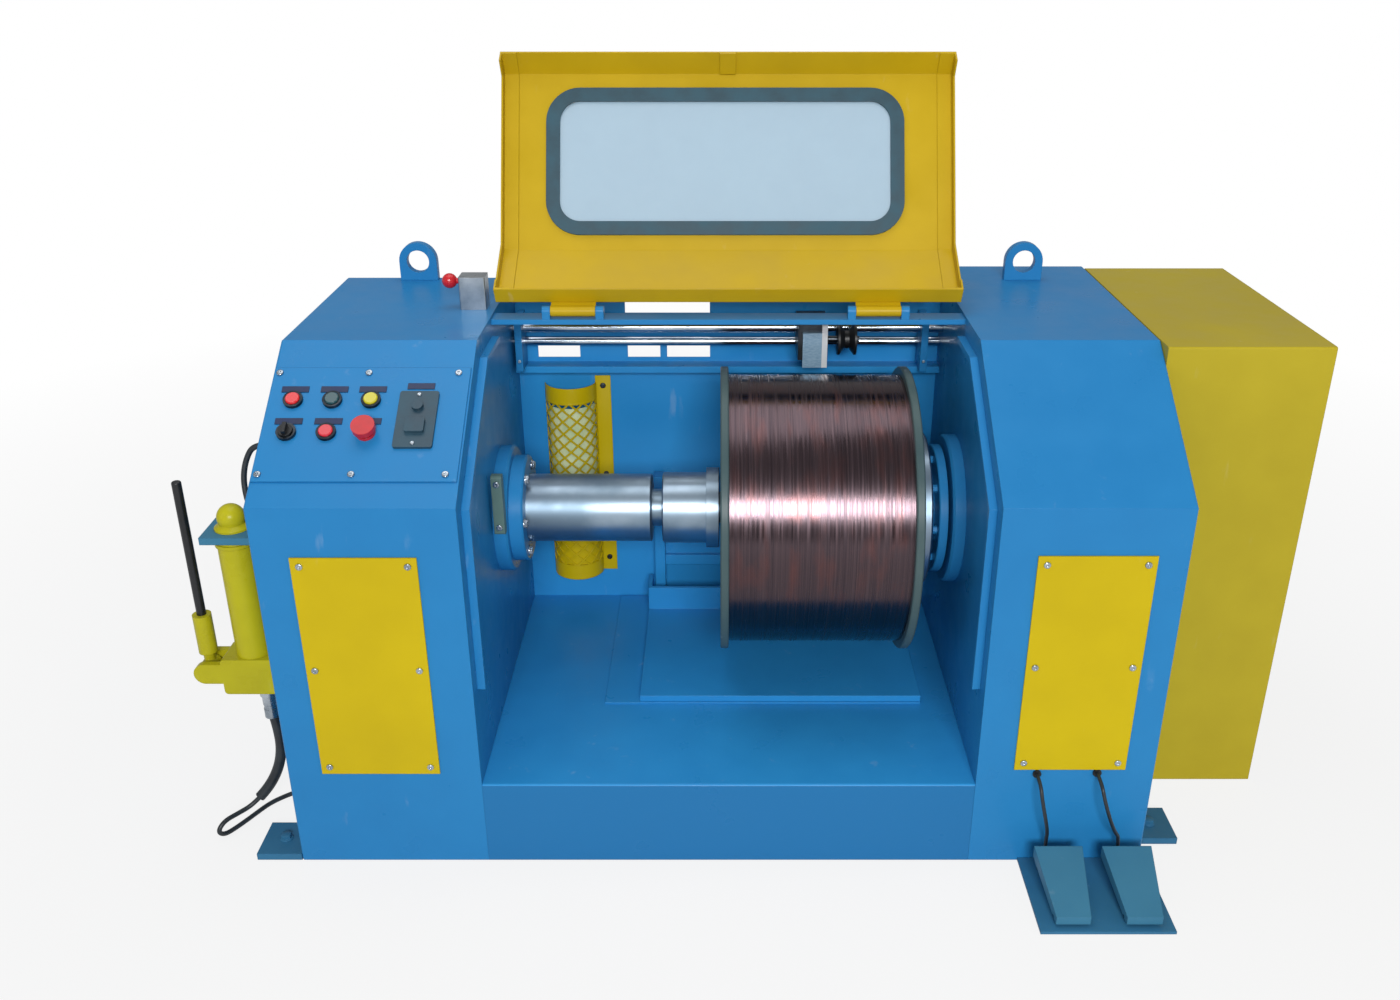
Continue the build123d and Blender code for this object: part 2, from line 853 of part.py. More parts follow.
with BuildPart() as wire_guard:
    with BuildSketch(Plane.XY.offset(guard_low)):
        with BuildLine():
            outer = CenterArc((guard_x, guard_y), guard_radius, 180, 180)
            inner = CenterArc((guard_x, guard_y), guard_radius - guard_sheet, 180, 180)
            Line(outer @ 0, inner @ 0)
            Line(outer @ 1, inner @ 1)
        make_face()
    extrude(amount=guard_high - guard_low)
    for place in range(2 * guard_columns - 1):
        pierce_column((place + 1 - guard_columns) * guard_step, guard_rows - place % 2)
    box(guard_x + guard_radius - guard_sheet, guard_x + guard_radius - guard_sheet + guard_flange,
        guard_y - guard_sheet, guard_y, guard_low, guard_high + guard_flange_rise)

# Lift table and its guide frame
lift_floor = well_floor + lift_base
with BuildPart() as lift_guide:
    box(lift_base_left, lift_right, front + lift_front - lift_base, front + post_front + post_depth,
        well_floor, lift_floor)
    for x in (post_left, post_right):
        box(x, x + post_width, front + post_front, front + post_front + post_depth,
            lift_floor, lift_floor + post_height)
    box(post_left + post_width, post_right, front + post_front + post_depth - mast_panel_thickness,
        front + post_front + post_depth, lift_floor + mast_panel_low, lift_floor + mast_panel_high)
    box(post_left + post_width, post_right,
        front + post_front + post_depth - mast_panel_thickness - mast_lip_depth,
        front + post_front + post_depth, lift_floor + mast_panel_low,
        lift_floor + mast_panel_low + mast_lip_height)

with BuildPart() as lift_platform:
    plate_low = lift_floor + seat_gap
    box(lift_left, lift_right, front + lift_front, front + lift_back, plate_low, plate_low + lift_plate)
    box(lift_left, lift_right, front + lift_back, front + lift_back + lift_upstand_thickness,
        plate_low, plate_low + lift_plate + lift_upstand)
    lug_back = front + post_front + post_depth - mast_panel_thickness - mast_lip_depth - moving_gap
    for x in (post_left, post_right):
        box(x - moving_gap - lift_upstand_thickness, x - moving_gap,
            front + lift_back + lift_upstand_thickness, lug_back,
            plate_low, plate_low + lift_plate + lift_upstand)

# Cover, drawn open: three flat panels between two bends, in one folded sheet
def opened(y, z):
    """Where a point of the closed cover stands when the cover is open."""
    turn = radians(-cover_open)
    dy = y - hinge_y
    dz = z - hinge_z
    return (hinge_y + dy * cos(turn) - dz * sin(turn), hinge_z + dy * sin(turn) + dz * cos(turn))


def opened_plane(y, z, up_y, up_z):
    """A plane on the cover's inner side: X across, Y along (up_y, up_z) when closed."""
    ahead = opened(y + up_y, z + up_z)
    here = opened(y, z)
    along = Vector(0, ahead[0] - here[0], ahead[1] - here[1])
    return Plane(origin=(0, here[0], here[1]), x_dir=(1, 0, 0), z_dir=Vector(1, 0, 0).cross(along))


cover_left = well_left + cover_side_gap
cover_right = well_right - cover_side_gap
cover_mid = (cover_left + cover_right) / 2
slope_dir = (cos(radians(slope_angle)), sin(radians(slope_angle)))
bend_y = front + slope_run
bend_z = frame_height + cover_top
hinge_side_y = hinge_y - hinge_edge
toe = (bend_y - slope_length * slope_dir[0], bend_z - slope_length * slope_dir[1])


def cover_band(thickness, depth_back):
    """Closed outline of the folded sheet from the toe lip to the hinge side lip."""
    half = radians(slope_angle) / 2
    set_in = thickness * (1 - sin(radians(slope_angle))) / cos(radians(slope_angle))
    outer = [
        (toe[0], toe[1] - cover_lip),
        toe,
        (bend_y, bend_z),
        (hinge_side_y, bend_z),
        (hinge_side_y, bend_z - depth_back),
    ]
    inner = [
        (hinge_side_y - thickness, bend_z - depth_back),
        (hinge_side_y - thickness, bend_z - thickness),
        (bend_y + thickness * sin(half) / cos(half), bend_z - thickness),
        (toe[0] + thickness, toe[1] - set_in),
        (toe[0] + thickness, toe[1] - cover_lip),
    ]
    return [opened(y, z) for y, z in outer + inner]


window_plane = opened_plane(toe[0], toe[1], slope_dir[0], slope_dir[1])
seal_left = cover_left + seal_margin_left
seal_right = cover_right - seal_margin_right
window_mid = ((seal_left + seal_right) / 2, slope_length / 2)
window_size = (seal_right - seal_left, slope_length - 2 * seal_margin)

with BuildPart() as cover_shell:
    with BuildSketch(Plane.YZ.offset(cover_left)):
        with BuildLine():
            Polyline(*cover_band(sheet, cover_back_lip), close=True)
        make_face()
    extrude(amount=cover_right - cover_left)
    for x in (cover_left, cover_right - sheet):
        with BuildSketch(Plane.YZ.offset(x)):
            with BuildLine():
                Polyline(*cover_band(cover_side_lip, cover_back_lip), close=True)
            make_face()
        extrude(amount=sheet)
    for x in (cover_left, cover_right - cover_hem):
        with BuildSketch(Plane.YZ.offset(x)):
            with BuildLine():
                Polyline(*cover_band(sheet + hem_thickness, cover_back_lip), close=True)
            make_face()
        extrude(amount=cover_hem)
    with BuildSketch(Plane.YZ.offset(strap_x - strap_width / 2)):
        with BuildLine():
            Polyline(
                opened(toe[0] + sheet, toe[1] - sheet),
                opened(toe[0] + sheet, toe[1] - cover_lip),
                opened(toe[0] + 2 * sheet, toe[1] - cover_lip),
                opened(toe[0] + 2 * sheet, toe[1] - sheet),
                close=True,
            )
        make_face()
    extrude(amount=strap_width)
    with BuildSketch(window_plane.offset(-cover_back_lip)):
        with Locations(window_mid):
            RectangleRounded(window_size[0] - seal_width, window_size[1] - seal_width,
                             seal_corner - seal_width / 2)
    extrude(amount=2 * cover_back_lip, mode=Mode.SUBTRACT)

with BuildPart() as window_seal:
    with BuildSketch(window_plane.offset(-sheet - seal_lip)):
        with Locations(window_mid):
            RectangleRounded(window_size[0], window_size[1], seal_corner)
            RectangleRounded(window_size[0] - 2 * seal_width, window_size[1] - 2 * seal_width,
                             seal_corner - seal_width, mode=Mode.SUBTRACT)
    extrude(amount=sheet + 2 * seal_lip)
    with BuildSketch(window_plane.offset(-sheet)):
        with Locations(window_mid):
            Rectangle(window_size[0] + 2, window_size[1] + 2)
            RectangleRounded(window_size[0] - seal_width, window_size[1] - seal_width,
                             seal_corner - seal_width / 2, mode=Mode.SUBTRACT)
    extrude(amount=sheet, mode=Mode.SUBTRACT)
    with BuildSketch(window_plane.offset(-sheet / 2 - pane_thickness / 2)):
        with Locations(window_mid):
            RectangleRounded(window_size[0] - 2 * seal_width + 2 * pane_tuck,
                             window_size[1] - 2 * seal_width + 2 * pane_tuck,
                             seal_corner - seal_width + pane_tuck)
    extrude(amount=pane_thickness, mode=Mode.SUBTRACT)

with BuildPart() as window_pane:
    with BuildSketch(window_plane.offset(-sheet / 2 - pane_thickness / 2)):
        with Locations(window_mid):
            RectangleRounded(window_size[0] - 2 * seal_width + 2 * pane_tuck,
                             window_size[1] - 2 * seal_width + 2 * pane_tuck,
                             seal_corner - seal_width + pane_tuck)
    extrude(amount=pane_thickness)

# Cover hinges: a strap and a barrel on the cover, round the beam's pins
with BuildPart() as cover_hinges:
    for x in hinge_leaf_x:
        with BuildSketch(Plane.YZ.offset(x - barrel_half)) as barrel:
            with BuildLine():
                Polyline(
                    opened(hinge_side_y - hinge_strap, bend_z),
                    opened(hinge_y, bend_z),
                    opened(hinge_y, bend_z + sheet),
                    opened(hinge_side_y - hinge_strap, bend_z + sheet),
                    close=True,
                )
            make_face()
            with Locations((hinge_y, hinge_z)):
                Circle(hinge_barrel_radius)
                Circle(hinge_pin_radius + bush_clearance, mode=Mode.SUBTRACT)
        extrude(amount=2 * barrel_half)

# Latch block and ball knob beside the cover
with BuildPart() as cover_latch:
    box(latch_x[0], latch_x[1], front + latch_front, front + latch_front + latch_depth,
        frame_height, frame_height + latch_height)
    fillet(cover_latch.edges().filter_by(Axis.Z), 2)



def ball_profile(radius, first, last):
    """(along, out) points of a ball's outline between two angles from its far pole."""
    turns = [first + (last - first) * step / ball_steps for step in range(ball_steps + 1)]
    return [(-radius * cos(turn), radius * sin(turn)) for turn in turns]


with BuildPart() as latch_knob:
    knob_y = front + latch_front + latch_depth / 2
    knob_z = frame_height + knob_height
    knob_x = latch_x[0] - knob_stem - knob_radius
    reach = latch_x[0] - knob_x
    with BuildSketch(Plane(origin=(knob_x, knob_y, knob_z), x_dir=(1, 0, 0), z_dir=(0, -1, 0))):
        with BuildLine():
            Polyline(
                *ball_profile(knob_radius, 0, pi - asin(knob_stem_radius / knob_radius)),
                (reach, knob_stem_radius),
                (reach, 0),
                close=True,
            )
        make_face()
    revolve(axis=Axis((knob_x, knob_y, knob_z), (1, 0, 0)))

# Hand pump
pump_y = front + pump_depth
with BuildPart() as pump_body:
    box(pump_block_left, left_end, pump_y - pump_block_depth / 2, pump_y + pump_block_depth / 2,
        pump_block_low, pump_block_high)
    fillet(pump_body.edges().filter_by(Axis.Y), 6)
    for side in (-1, 1):
        y0 = pump_y + side * pump_block_depth / 2
        with BuildSketch(Plane.XZ.offset(-max(y0, y0 - side * pump_ear))):
            with Locations((pump_pivot_x, pump_pivot_height)):
                Circle(pump_ear_radius)
            with Locations(((pump_pivot_x + pump_block_left + 10) / 2, pump_pivot_height)):
                Rectangle(pump_block_left + 10 - pump_pivot_x, 2 * pump_ear_radius)
        extrude(amount=pump_ear)
    with BuildSketch(Plane.XZ.offset(-pump_y - pump_block_depth / 2)):
        with Locations((pump_pivot_x, pump_pivot_height)):
            Circle(pump_pin_radius)
    extrude(amount=pump_block_depth)

with BuildPart() as pump_cylinder:
    pump_plane = Plane(origin=(pump_cylinder_x, pump_y, 0), x_dir=(1, 0, 0), z_dir=(0, -1, 0))
    with BuildSketch(pump_plane):
        with BuildLine():
            Polyline(
                (0, pump_block_high),
                (pump_cylinder_radius, pump_block_high),
                (pump_cylinder_radius, pump_ring_height),
                (pump_cylinder_radius + 3, pump_ring_height),
                (pump_cylinder_radius + 3, pump_ring_height + pump_ring_width),
                (pump_cylinder_radius, pump_ring_height + pump_ring_width),
                (pump_cylinder_radius, pump_cylinder_high - 6),
                (pump_cylinder_radius - 8, pump_cylinder_high),
                (0, pump_cylinder_high),
                close=True,
            )
        make_face()
    revolve(axis=Axis((pump_cylinder_x, pump_y, 0), (0, 0, 1)))
    with Locations((pump_cylinder_x, pump_y, pump_cap_height)):
        Sphere(pump_cap_radius)

with BuildPart() as pump_bracket:
    margin = pump_cylinder_radius + pump_bracket_margin
    box(pump_cylinder_x - margin, left_end, pump_y - margin, pump_y + margin,
        pump_bracket_low, pump_bracket_low + pump_bracket_thickness)
    with BuildSketch(Plane.XY.offset(pump_bracket_low)):
        with Locations((pump_cylinder_x, pump_y)):
            Circle(pump_cylinder_radius)
    extrude(amount=pump_bracket_thickness, mode=Mode.SUBTRACT)

with BuildPart() as pump_lever:
    lever_plane = Plane.XZ.offset(-pump_y - lever_eye_width / 2)
    with BuildSketch(lever_plane):
        with Locations((pump_pivot_x, pump_pivot_height)):
            Circle(lever_eye_radius)
    extrude(amount=lever_eye_width)
    with BuildSketch(Plane.XY.offset(pump_pivot_height)):
        with Locations((pump_pivot_x, pump_y)):
            Circle(lever_neck_radius)
    extrude(amount=lever_socket_top - pump_pivot_height)
    with BuildSketch(Plane.XY.offset(pump_pivot_height + lever_eye_radius + 12)):
        with Locations((pump_pivot_x, pump_y)):
            Circle(lever_socket_radius)
    extrude(amount=lever_socket_top - pump_pivot_height - lever_eye_radius - 12)
    with BuildSketch(lever_plane):
        with Locations((pump_pivot_x, pump_pivot_height)):
            Circle(pump_pin_radius + bush_clearance)
    extrude(amount=lever_eye_width, mode=Mode.SUBTRACT)

with BuildPart() as lever_handle:
    with BuildSketch(Plane.XY.offset(lever_socket_top)):
        with Locations((pump_pivot_x, pump_y)):
            Circle(lever_radius)
    extrude(amount=lever_top - lever_socket_top)
    fillet(lever_handle.edges().group_by(Axis.Z)[-1], 3)

# Foot pedals
pedal_low_y = front - pedal_front
pedal_high_y = front - pedal_rear
pedal_length = pedal_front - pedal_rear
pedal_rise = (pedal_toe - pedal_heel) / pedal_length
pin_y = pedal_low_y + pedal_pin_set


def pedal_cap(span):
    """A wedge-shaped treadle, hollow below, that narrows towards the heel."""
    for inset, mode in ((0, Mode.ADD), (pedal_skin, Mode.SUBTRACT)):
        low_y = pedal_low_y + inset
        high_y = pedal_high_y - inset
        low_z = pedal_foot_gap - (5 if inset else 0)
        top_low = pedal_heel - inset * 1.1 + pedal_rise * inset
        top_high = pedal_toe - inset * 1.1 - pedal_rise * inset
        skirt_low = pedal_toe - pedal_skirt - (30 if inset else 0)
        with BuildSketch(Plane.YZ.offset(span[0])) as side:
            with BuildLine():
                Polyline(
                    (low_y, low_z), (low_y, top_low), (high_y, top_high), (high_y, skirt_low),
                    close=True,
                )
            make_face()
        wedge = extrude(side.sketch, amount=span[1] - span[0], mode=Mode.PRIVATE)
        with BuildSketch(Plane.XY) as plan:
            with BuildLine():
                Polyline(
                    (span[0] + inset, pedal_high_y), (span[1] - inset, pedal_high_y),
                    (span[1] - pedal_taper - inset, pedal_low_y), (span[0] + pedal_taper + inset, pedal_low_y),
                    close=True,
                )
            make_face()
        prism = extrude(plan.sketch, amount=2 * pedal_toe, mode=Mode.PRIVATE)
        add(wedge & prism, mode=mode)
    rod(span[0], span[1], pin_y, pedal_pin_height, pedal_pin_radius + bush_clearance, Mode.SUBTRACT)


with BuildPart() as pedal_left:
    pedal_cap(pedal_x[0])

with BuildPart() as pedal_right:
    pedal_cap(pedal_x[1])

with BuildPart() as pedal_base:
    box(pedal_plate_x[0], pedal_plate_x[1], front - pedal_plate_front, front - seat_gap,
        0, pedal_plate_thickness)
    for span in pedal_x:
        inner = (span[0] + pedal_block_inset, span[1] - pedal_block_inset)
        box(inner[0], inner[1], pedal_low_y + pedal_block_front, pedal_high_y - pedal_block_inset,
            0, pedal_block_height)
        ears = (span[0] + pedal_taper + pedal_skin + 3, span[1] - pedal_taper - pedal_skin - 3)
        for x in (ears[0], ears[1] - pedal_ear_width):
            rod(x, x + pedal_ear_width, pin_y, pedal_pin_height, pedal_ear_radius)
            box(x, x + pedal_ear_width, pin_y - pedal_ear_radius, pin_y + pedal_ear_radius,
                0, pedal_pin_height)
        rod(span[0] + pedal_taper + 1, span[1] - pedal_taper - 1, pin_y, pedal_pin_height,
            pedal_pin_radius)
    for route in (pedal_cord_left_route, pedal_cord_right_route):
        x, back, z = route[-1]
        box(x - gland_block_width / 2, x + gland_block_width / 2, front + back - gland_block_depth / 2,
            front + back + gland_block_depth / 2, 0, gland_block_height)
        with BuildSketch(Plane.XY.offset(gland_block_height)):
            with Locations((x, front + back)):
                Circle(gland_radius)
        extrude(amount=gland_top - gland_block_height)

# Grommets where the cords and hoses enter the housings
with BuildPart() as cord_grommets:
    for route in (pedal_cord_left_route, pedal_cord_right_route):
        with BuildSketch(Plane.XZ.offset(-front)):
            with Locations((route[0][0], route[0][2])):
                Circle(grommet_radius)
        extrude(amount=grommet_height)
    for route in (pump_line_route, pump_return_route):
        rod(left_end - grommet_height, left_end, front + route[-1][1], route[-1][2], grommet_radius)


def bend_radii(points):
    """The largest arcs that each corner's two runs allow."""
    radii = []
    for before, here, after in zip(points, points[1:], points[2:]):
        turn = (here - before).get_angle(after - here)
        shorter = min((here - before).length, (after - here).length)
        radii.append(0.45 * shorter / tan(radians(turn) / 2))
    return radii


def cord(name, route, radius):
    """A cord's tube: straight runs joined by tangent arcs through its hand-laid route."""
    points = [Vector(x, front + back, z) for x, back, z in route]
    radii = bend_radii(points)
    with BuildLine() as path:
        FilletPolyline(*points, radius=radii)
    with BuildPart() as tube:
        start = Plane(origin=points[0], z_dir=points[1] - points[0])
        with BuildSketch(start) as section:
            Circle(radius)
        sweep(section.sketch, path=path.wires()[0])
    length = path.wires()[0].length
    share = tube.part.volume / (pi * radius**2 * length)
    print(name, "length", round(length), "radii", [round(r) for r in radii], "volume", round(share, 4))
    return tube


pedal_cord_left = cord("pedal_cord_left", pedal_cord_left_route, pedal_cord_radius)
pedal_cord_right = cord("pedal_cord_right", pedal_cord_right_route, pedal_cord_radius)
pump_hose = cord("pump_hose", pump_hose_route, pump_hose_radius)
pump_line = cord("pump_line", pump_line_route, pump_line_radius)
pump_return = cord("pump_return", pump_return_route, pump_return_radius)

pieces = {
    "left_housing": left_housing,
    "right_housing": right_housing,
    "base_pan": base_pan,
    "back_wall": back_wall,
    "hinge_beam": hinge_beam,
    "rim_strips": rim_strips,
    "access_panels": access_panels,
    "control_panel": control_panel,
    "button_bezels": button_bezels,
    "push_buttons": push_buttons,
    "selector_switch": selector_switch,
    "emergency_stop": emergency_stop,
    "legend_plates": legend_plates,
    "socket_plate": socket_plate,
    "lifting_lugs": lifting_lugs,
    "drive_box": drive_box,
    "foot_plates": foot_plates,
    "left_bearing_housing": left_bearing_housing,
    "right_bearing_housing": right_bearing_housing,
    "quill_clamp": quill_clamp,
    "quill": quill,
    "quill_nose": quill_nose,
    "reel_flange_left": reel_flange_left,
    "reel_flange_right": reel_flange_right,
    "wire_winding": wire_winding,
    "drive_disc": drive_disc,
    "spindle_flange": spindle_flange,
    "traverse_rods": traverse_rods,
    "traverse_brackets": traverse_brackets,
    "traverse_carriage": traverse_carriage,
    "carriage_plate": carriage_plate,
    "guide_pulley": guide_pulley,
    "wire_guard": wire_guard,
    "lift_guide": lift_guide,
    "lift_platform": lift_platform,
    "cover_shell": cover_shell,
    "window_seal": window_seal,
    "window_pane": window_pane,
    "cover_hinges": cover_hinges,
    "cover_latch": cover_latch,
    "latch_knob": latch_knob,
    "pump_body": pump_body,
    "pump_cylinder": pump_cylinder,
    "pump_bracket": pump_bracket,
    "pump_lever": pump_lever,
    "lever_handle": lever_handle,
    "pedal_base": pedal_base,
    "pedal_left": pedal_left,
    "pedal_right": pedal_right,
    "cord_grommets": cord_grommets,
    "pedal_cord_left": pedal_cord_left,
    "pedal_cord_right": pedal_cord_right,
    "pump_hose": pump_hose,
    "pump_line": pump_line,
    "pump_return": pump_return,
}

os.makedirs("parts", exist_ok=True)
for name, piece in pieces.items():
    piece.part.label = name
    export_step(piece.part, f"parts/{name}.step")
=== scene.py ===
import bpy
import bmesh
import math
from mathutils import Matrix, Vector


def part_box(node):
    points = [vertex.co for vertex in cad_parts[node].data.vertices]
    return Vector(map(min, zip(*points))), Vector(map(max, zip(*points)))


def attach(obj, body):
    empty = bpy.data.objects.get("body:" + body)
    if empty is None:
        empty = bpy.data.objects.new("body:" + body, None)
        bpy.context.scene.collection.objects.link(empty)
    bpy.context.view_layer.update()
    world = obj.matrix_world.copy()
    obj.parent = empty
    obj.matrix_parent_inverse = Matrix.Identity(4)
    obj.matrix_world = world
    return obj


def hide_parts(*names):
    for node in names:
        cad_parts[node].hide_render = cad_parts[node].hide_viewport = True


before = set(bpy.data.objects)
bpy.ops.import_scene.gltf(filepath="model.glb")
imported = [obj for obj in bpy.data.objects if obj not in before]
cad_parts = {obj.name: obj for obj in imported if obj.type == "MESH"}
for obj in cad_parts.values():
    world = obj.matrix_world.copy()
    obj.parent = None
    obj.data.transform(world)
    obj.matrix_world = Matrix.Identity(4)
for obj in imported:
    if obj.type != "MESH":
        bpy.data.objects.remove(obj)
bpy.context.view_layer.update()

# Places that the scene shares with the machine's construction, in metres
FRONT = -0.372
SPINDLE_Z = 0.478
HOUSING_TOP = 0.823
PANEL_FOOT_Z = 0.647
PANEL_DEPTH = 0.259

# The camera: height, distance from the front plates and tilt, found from the photograph's vanishing points
CAMERA_PLACE = (0.0, FRONT - 1.680, 1.423)
CAMERA_TILT = 24.4
CAMERA_LENS = 32.55
PHOTO_WIDTH = 1400
MIDDLE_COLUMN = 721


def linear(red, green, blue):
    """A colour given as 0 to 255 screen values, as the shader wants it."""
    levels = []
    for level in (red, green, blue):
        share = level / 255
        levels.append(share / 12.92 if share <= 0.04045 else ((share + 0.055) / 1.055) ** 2.4)
    return (*levels, 1.0)


class Value:
    """A node's output that can be used in plain arithmetic."""

    def __init__(self, finish, socket):
        self.finish = finish
        self.socket = socket

    def maths(self, operation, first, second):
        return self.finish.node("ShaderNodeMath", {"operation": operation}, [first, second])

    def __add__(self, other):
        return self.maths("ADD", self, other)

    def __radd__(self, other):
        return self.maths("ADD", other, self)

    def __mul__(self, other):
        return self.maths("MULTIPLY", self, other)

    def __rmul__(self, other):
        return self.maths("MULTIPLY", other, self)

    def __pow__(self, other):
        return self.maths("POWER", self, other)

    def __lt__(self, other):
        return self.maths("LESS_THAN", self, other)

    def __gt__(self, other):
        return self.maths("GREATER_THAN", self, other)

    def limited(self):
        """The same number held between 0 and 1."""
        return self.finish.node("ShaderNodeClamp", {}, [self])


class Finish:
    """One material and the nodes that make it."""

    def __init__(self, name, roughness=0.5, metallic=0.0):
        self.material = bpy.data.materials.new(name)
        self.material.use_nodes = True
        self.tree = self.material.node_tree
        self.shader = self.tree.nodes["Principled BSDF"]
        self.shader.inputs["Roughness"].default_value = roughness
        self.shader.inputs["Metallic"].default_value = metallic
        place = self.tree.nodes.new("ShaderNodeTexCoord")
        self.place = Value(self, place.outputs["Object"])
        axes = self.tree.nodes.new("ShaderNodeSeparateXYZ")
        self.tree.links.new(place.outputs["Object"], axes.inputs[0])
        self.x, self.y, self.z = (Value(self, socket) for socket in axes.outputs)

    def link(self, value, socket):
        """Feeds a socket from a node's output or with a constant."""
        if isinstance(value, Value):
            self.tree.links.new(value.socket, socket)
        else:
            socket.default_value = value

    def node(self, kind, settings, inputs, output=0):
        """Makes one node: its settings first, then the values or links of its inputs."""
        made = self.tree.nodes.new(kind)
        for key, value in settings.items():
            setattr(made, key, value)
        named = inputs.items() if isinstance(inputs, dict) else enumerate(inputs)
        for key, value in named:
            self.link(value, made.inputs[key])
        return Value(self, made.outputs[output])

    def noise(self, scale, detail=3.0, stretch=(1, 1, 1)):
        """Soft noise on the object's own coordinates, stretched along an axis where asked."""
        at = self.place
        if stretch != (1, 1, 1):
            at = self.node("ShaderNodeMapping", {}, {"Vector": self.place, "Scale": stretch})
        return self.node("ShaderNodeTexNoise", {}, {"Vector": at, "Scale": scale, "Detail": detail})

    def band(self, value, low, high, start=0.0, end=1.0):
        """Maps a number from one range to another, held at both ends."""
        return self.node("ShaderNodeMapRange", {"clamp": True}, [value, low, high, start, end])

    def mix(self, share, first, second):
        """Blends two colours by a share."""
        return self.node("ShaderNodeMix", {"data_type": "RGBA"}, {0: share, 6: first, 7: second}, 2)

    def set(self, name, value):
        self.link(value, self.shader.inputs[name])

    def bump(self, height, strength, distance, rounded=0.0):
        """Gives the surface relief, over edges that look rounded by a small radius."""
        inputs = {"Strength": strength, "Distance": distance, "Height": height}
        if rounded:
            inputs["Normal"] = self.node("ShaderNodeBevel", {"samples": 4}, {"Radius": rounded})
        self.set("Normal", self.node("ShaderNodeBump", {}, inputs))


def enamel(name, colour, shade, gloss=0.32, dust=0.25, front_painted_shade=None):
    """Sprayed enamel: orange peel, patchy gloss, soft drift, a few rubbed marks and, where asked, a painted
    shade on the faces at the front plane.
    """
    finish = Finish(name, roughness=gloss)
    drift = finish.noise(2.2, 2.0)
    cloud = finish.noise(14.0, 4.0)
    colour_drift = finish.band(drift * 0.65 + cloud * 0.35, 0.32, 0.68)
    paint = finish.mix(colour_drift, shade, colour)
    rubbed = finish.band(finish.noise(38.0, 6.0, (1, 1, 0.25)), 0.66, 0.76) * dust
    pale = tuple(min(1.0, 0.55 * c + 0.30) for c in colour[:3]) + (1.0,)
    paint = finish.mix(rubbed * finish.band(cloud, 0.45, 0.6), paint, pale)
    # Painted shade: faces at the front plane take a darker colour
    if front_painted_shade:
        paint = finish.mix(finish.y < FRONT + 0.0005, paint, front_painted_shade)
    finish.set("Base Color", paint)
    finish.set("Roughness", finish.band(cloud, 0.3, 0.7, gloss - 0.06, gloss + 0.10))
    finish.shader.inputs["Specular IOR Level"].default_value = 0.18
    finish.shader.inputs["Coat Weight"].default_value = 0.05
    finish.shader.inputs["Coat Roughness"].default_value = 0.18
    height = finish.noise(420.0, 2.0) * 0.10 + drift * 0.3
    finish.bump(height, 0.25, 0.0006, 0.0022)
    return finish.material


def turned_steel(name, colour, shade, roughness, rings=2600.0):
    """Turned or ground steel: fine rings about the spindle line, smoky stains and a soft shine."""
    finish = Finish(name, roughness=roughness, metallic=1.0)
    fine_rings = finish.noise(1.0, 2.0, (rings, 6.0, 6.0))
    smoke = finish.noise(11.0, 5.0)
    finish.set("Base Color", finish.mix(finish.band(smoke, 0.35, 0.7), shade, colour))
    finish.set("Roughness", finish.band(smoke, 0.3, 0.7, roughness + 0.10, roughness - 0.05))
    finish.bump(fine_rings, 0.10, 0.0002, 0.0012)
    return finish.material


def plain_metal(name, colour, shade, roughness, grain=(1, 1, 1)):
    """Milled or drawn metal with a light grain."""
    finish = Finish(name, roughness=roughness, metallic=1.0)
    scratches = finish.noise(220.0, 3.0, grain)
    cloud = finish.noise(24.0, 4.0)
    finish.set("Base Color", finish.mix(finish.band(cloud, 0.35, 0.65), shade, colour))
    finish.set("Roughness", finish.band(scratches, 0.3, 0.7, roughness - 0.05, roughness + 0.10))
    finish.bump(scratches, 0.12, 0.0002, 0.0008)
    return finish.material


def moulded(name, colour, shade, roughness):
    """Moulded plastic or rubber with a fine skin."""
    finish = Finish(name, roughness=roughness)
    skin = finish.noise(900.0, 2.0)
    cloud = finish.noise(30.0, 3.0)
    finish.set("Base Color", finish.mix(finish.band(cloud, 0.35, 0.65), shade, colour))
    finish.set("Roughness", finish.band(cloud, 0.3, 0.7, roughness - 0.05, roughness + 0.12))
    finish.bump(skin, 0.15, 0.0002, 0.0008)
    return finish.material


BLUE = enamel("blue_enamel", linear(40, 128, 187), linear(36, 120, 179))
# Painted light: the well's parts take a lighter copy of the blue enamel, and their front faces a darker one
# as painted shade
WELL_BLUE_PAINTED_LIGHT = enamel("well_blue_painted_light_enamel", linear(46, 146, 210), linear(41, 134, 198),
                   front_painted_shade=linear(34, 112, 168))
YELLOW = enamel("yellow_enamel", linear(202, 178, 8), linear(190, 166, 8), 0.36)
COVER_YELLOW = enamel("cover_yellow_enamel", linear(196, 164, 14), linear(180, 150, 20), 0.36)
DRIVE_YELLOW = enamel("drive_yellow_enamel", linear(184, 166, 38), linear(172, 154, 34), 0.4)
TEAL = enamel("teal_enamel", linear(62, 122, 152), linear(54, 110, 140), 0.45)
FOOT_TEAL = enamel("foot_teal_enamel", linear(54, 116, 154), linear(46, 102, 138), 0.45)
PUMP_YELLOW = enamel("pump_enamel", linear(190, 184, 30), linear(160, 152, 24), 0.28)
STEEL = turned_steel("turned_steel", linear(160, 178, 194), linear(124, 144, 160), 0.36)
DARK_STEEL = plain_metal("dark_steel", linear(74, 80, 86), linear(48, 54, 60), 0.35)
SCREW_STEEL = plain_metal("screw_steel", linear(196, 204, 212), linear(150, 160, 170), 0.25)
CHROME = turned_steel("rod_chrome", linear(216, 224, 232), linear(170, 182, 194), 0.14, 400.0)
ALUMINIUM = plain_metal("milled_aluminium", linear(190, 196, 200), linear(150, 158, 164), 0.32, (1, 1, 6))
REEL_STEEL = enamel("reel_grey_paint", linear(84, 104, 104), linear(62, 82, 86), 0.35, 0.5)
RUBBER = moulded("seal_rubber", linear(34, 76, 92), linear(26, 62, 76), 0.5)
BLACK = moulded("black_plastic", linear(26, 28, 32), linear(16, 18, 22), 0.35)
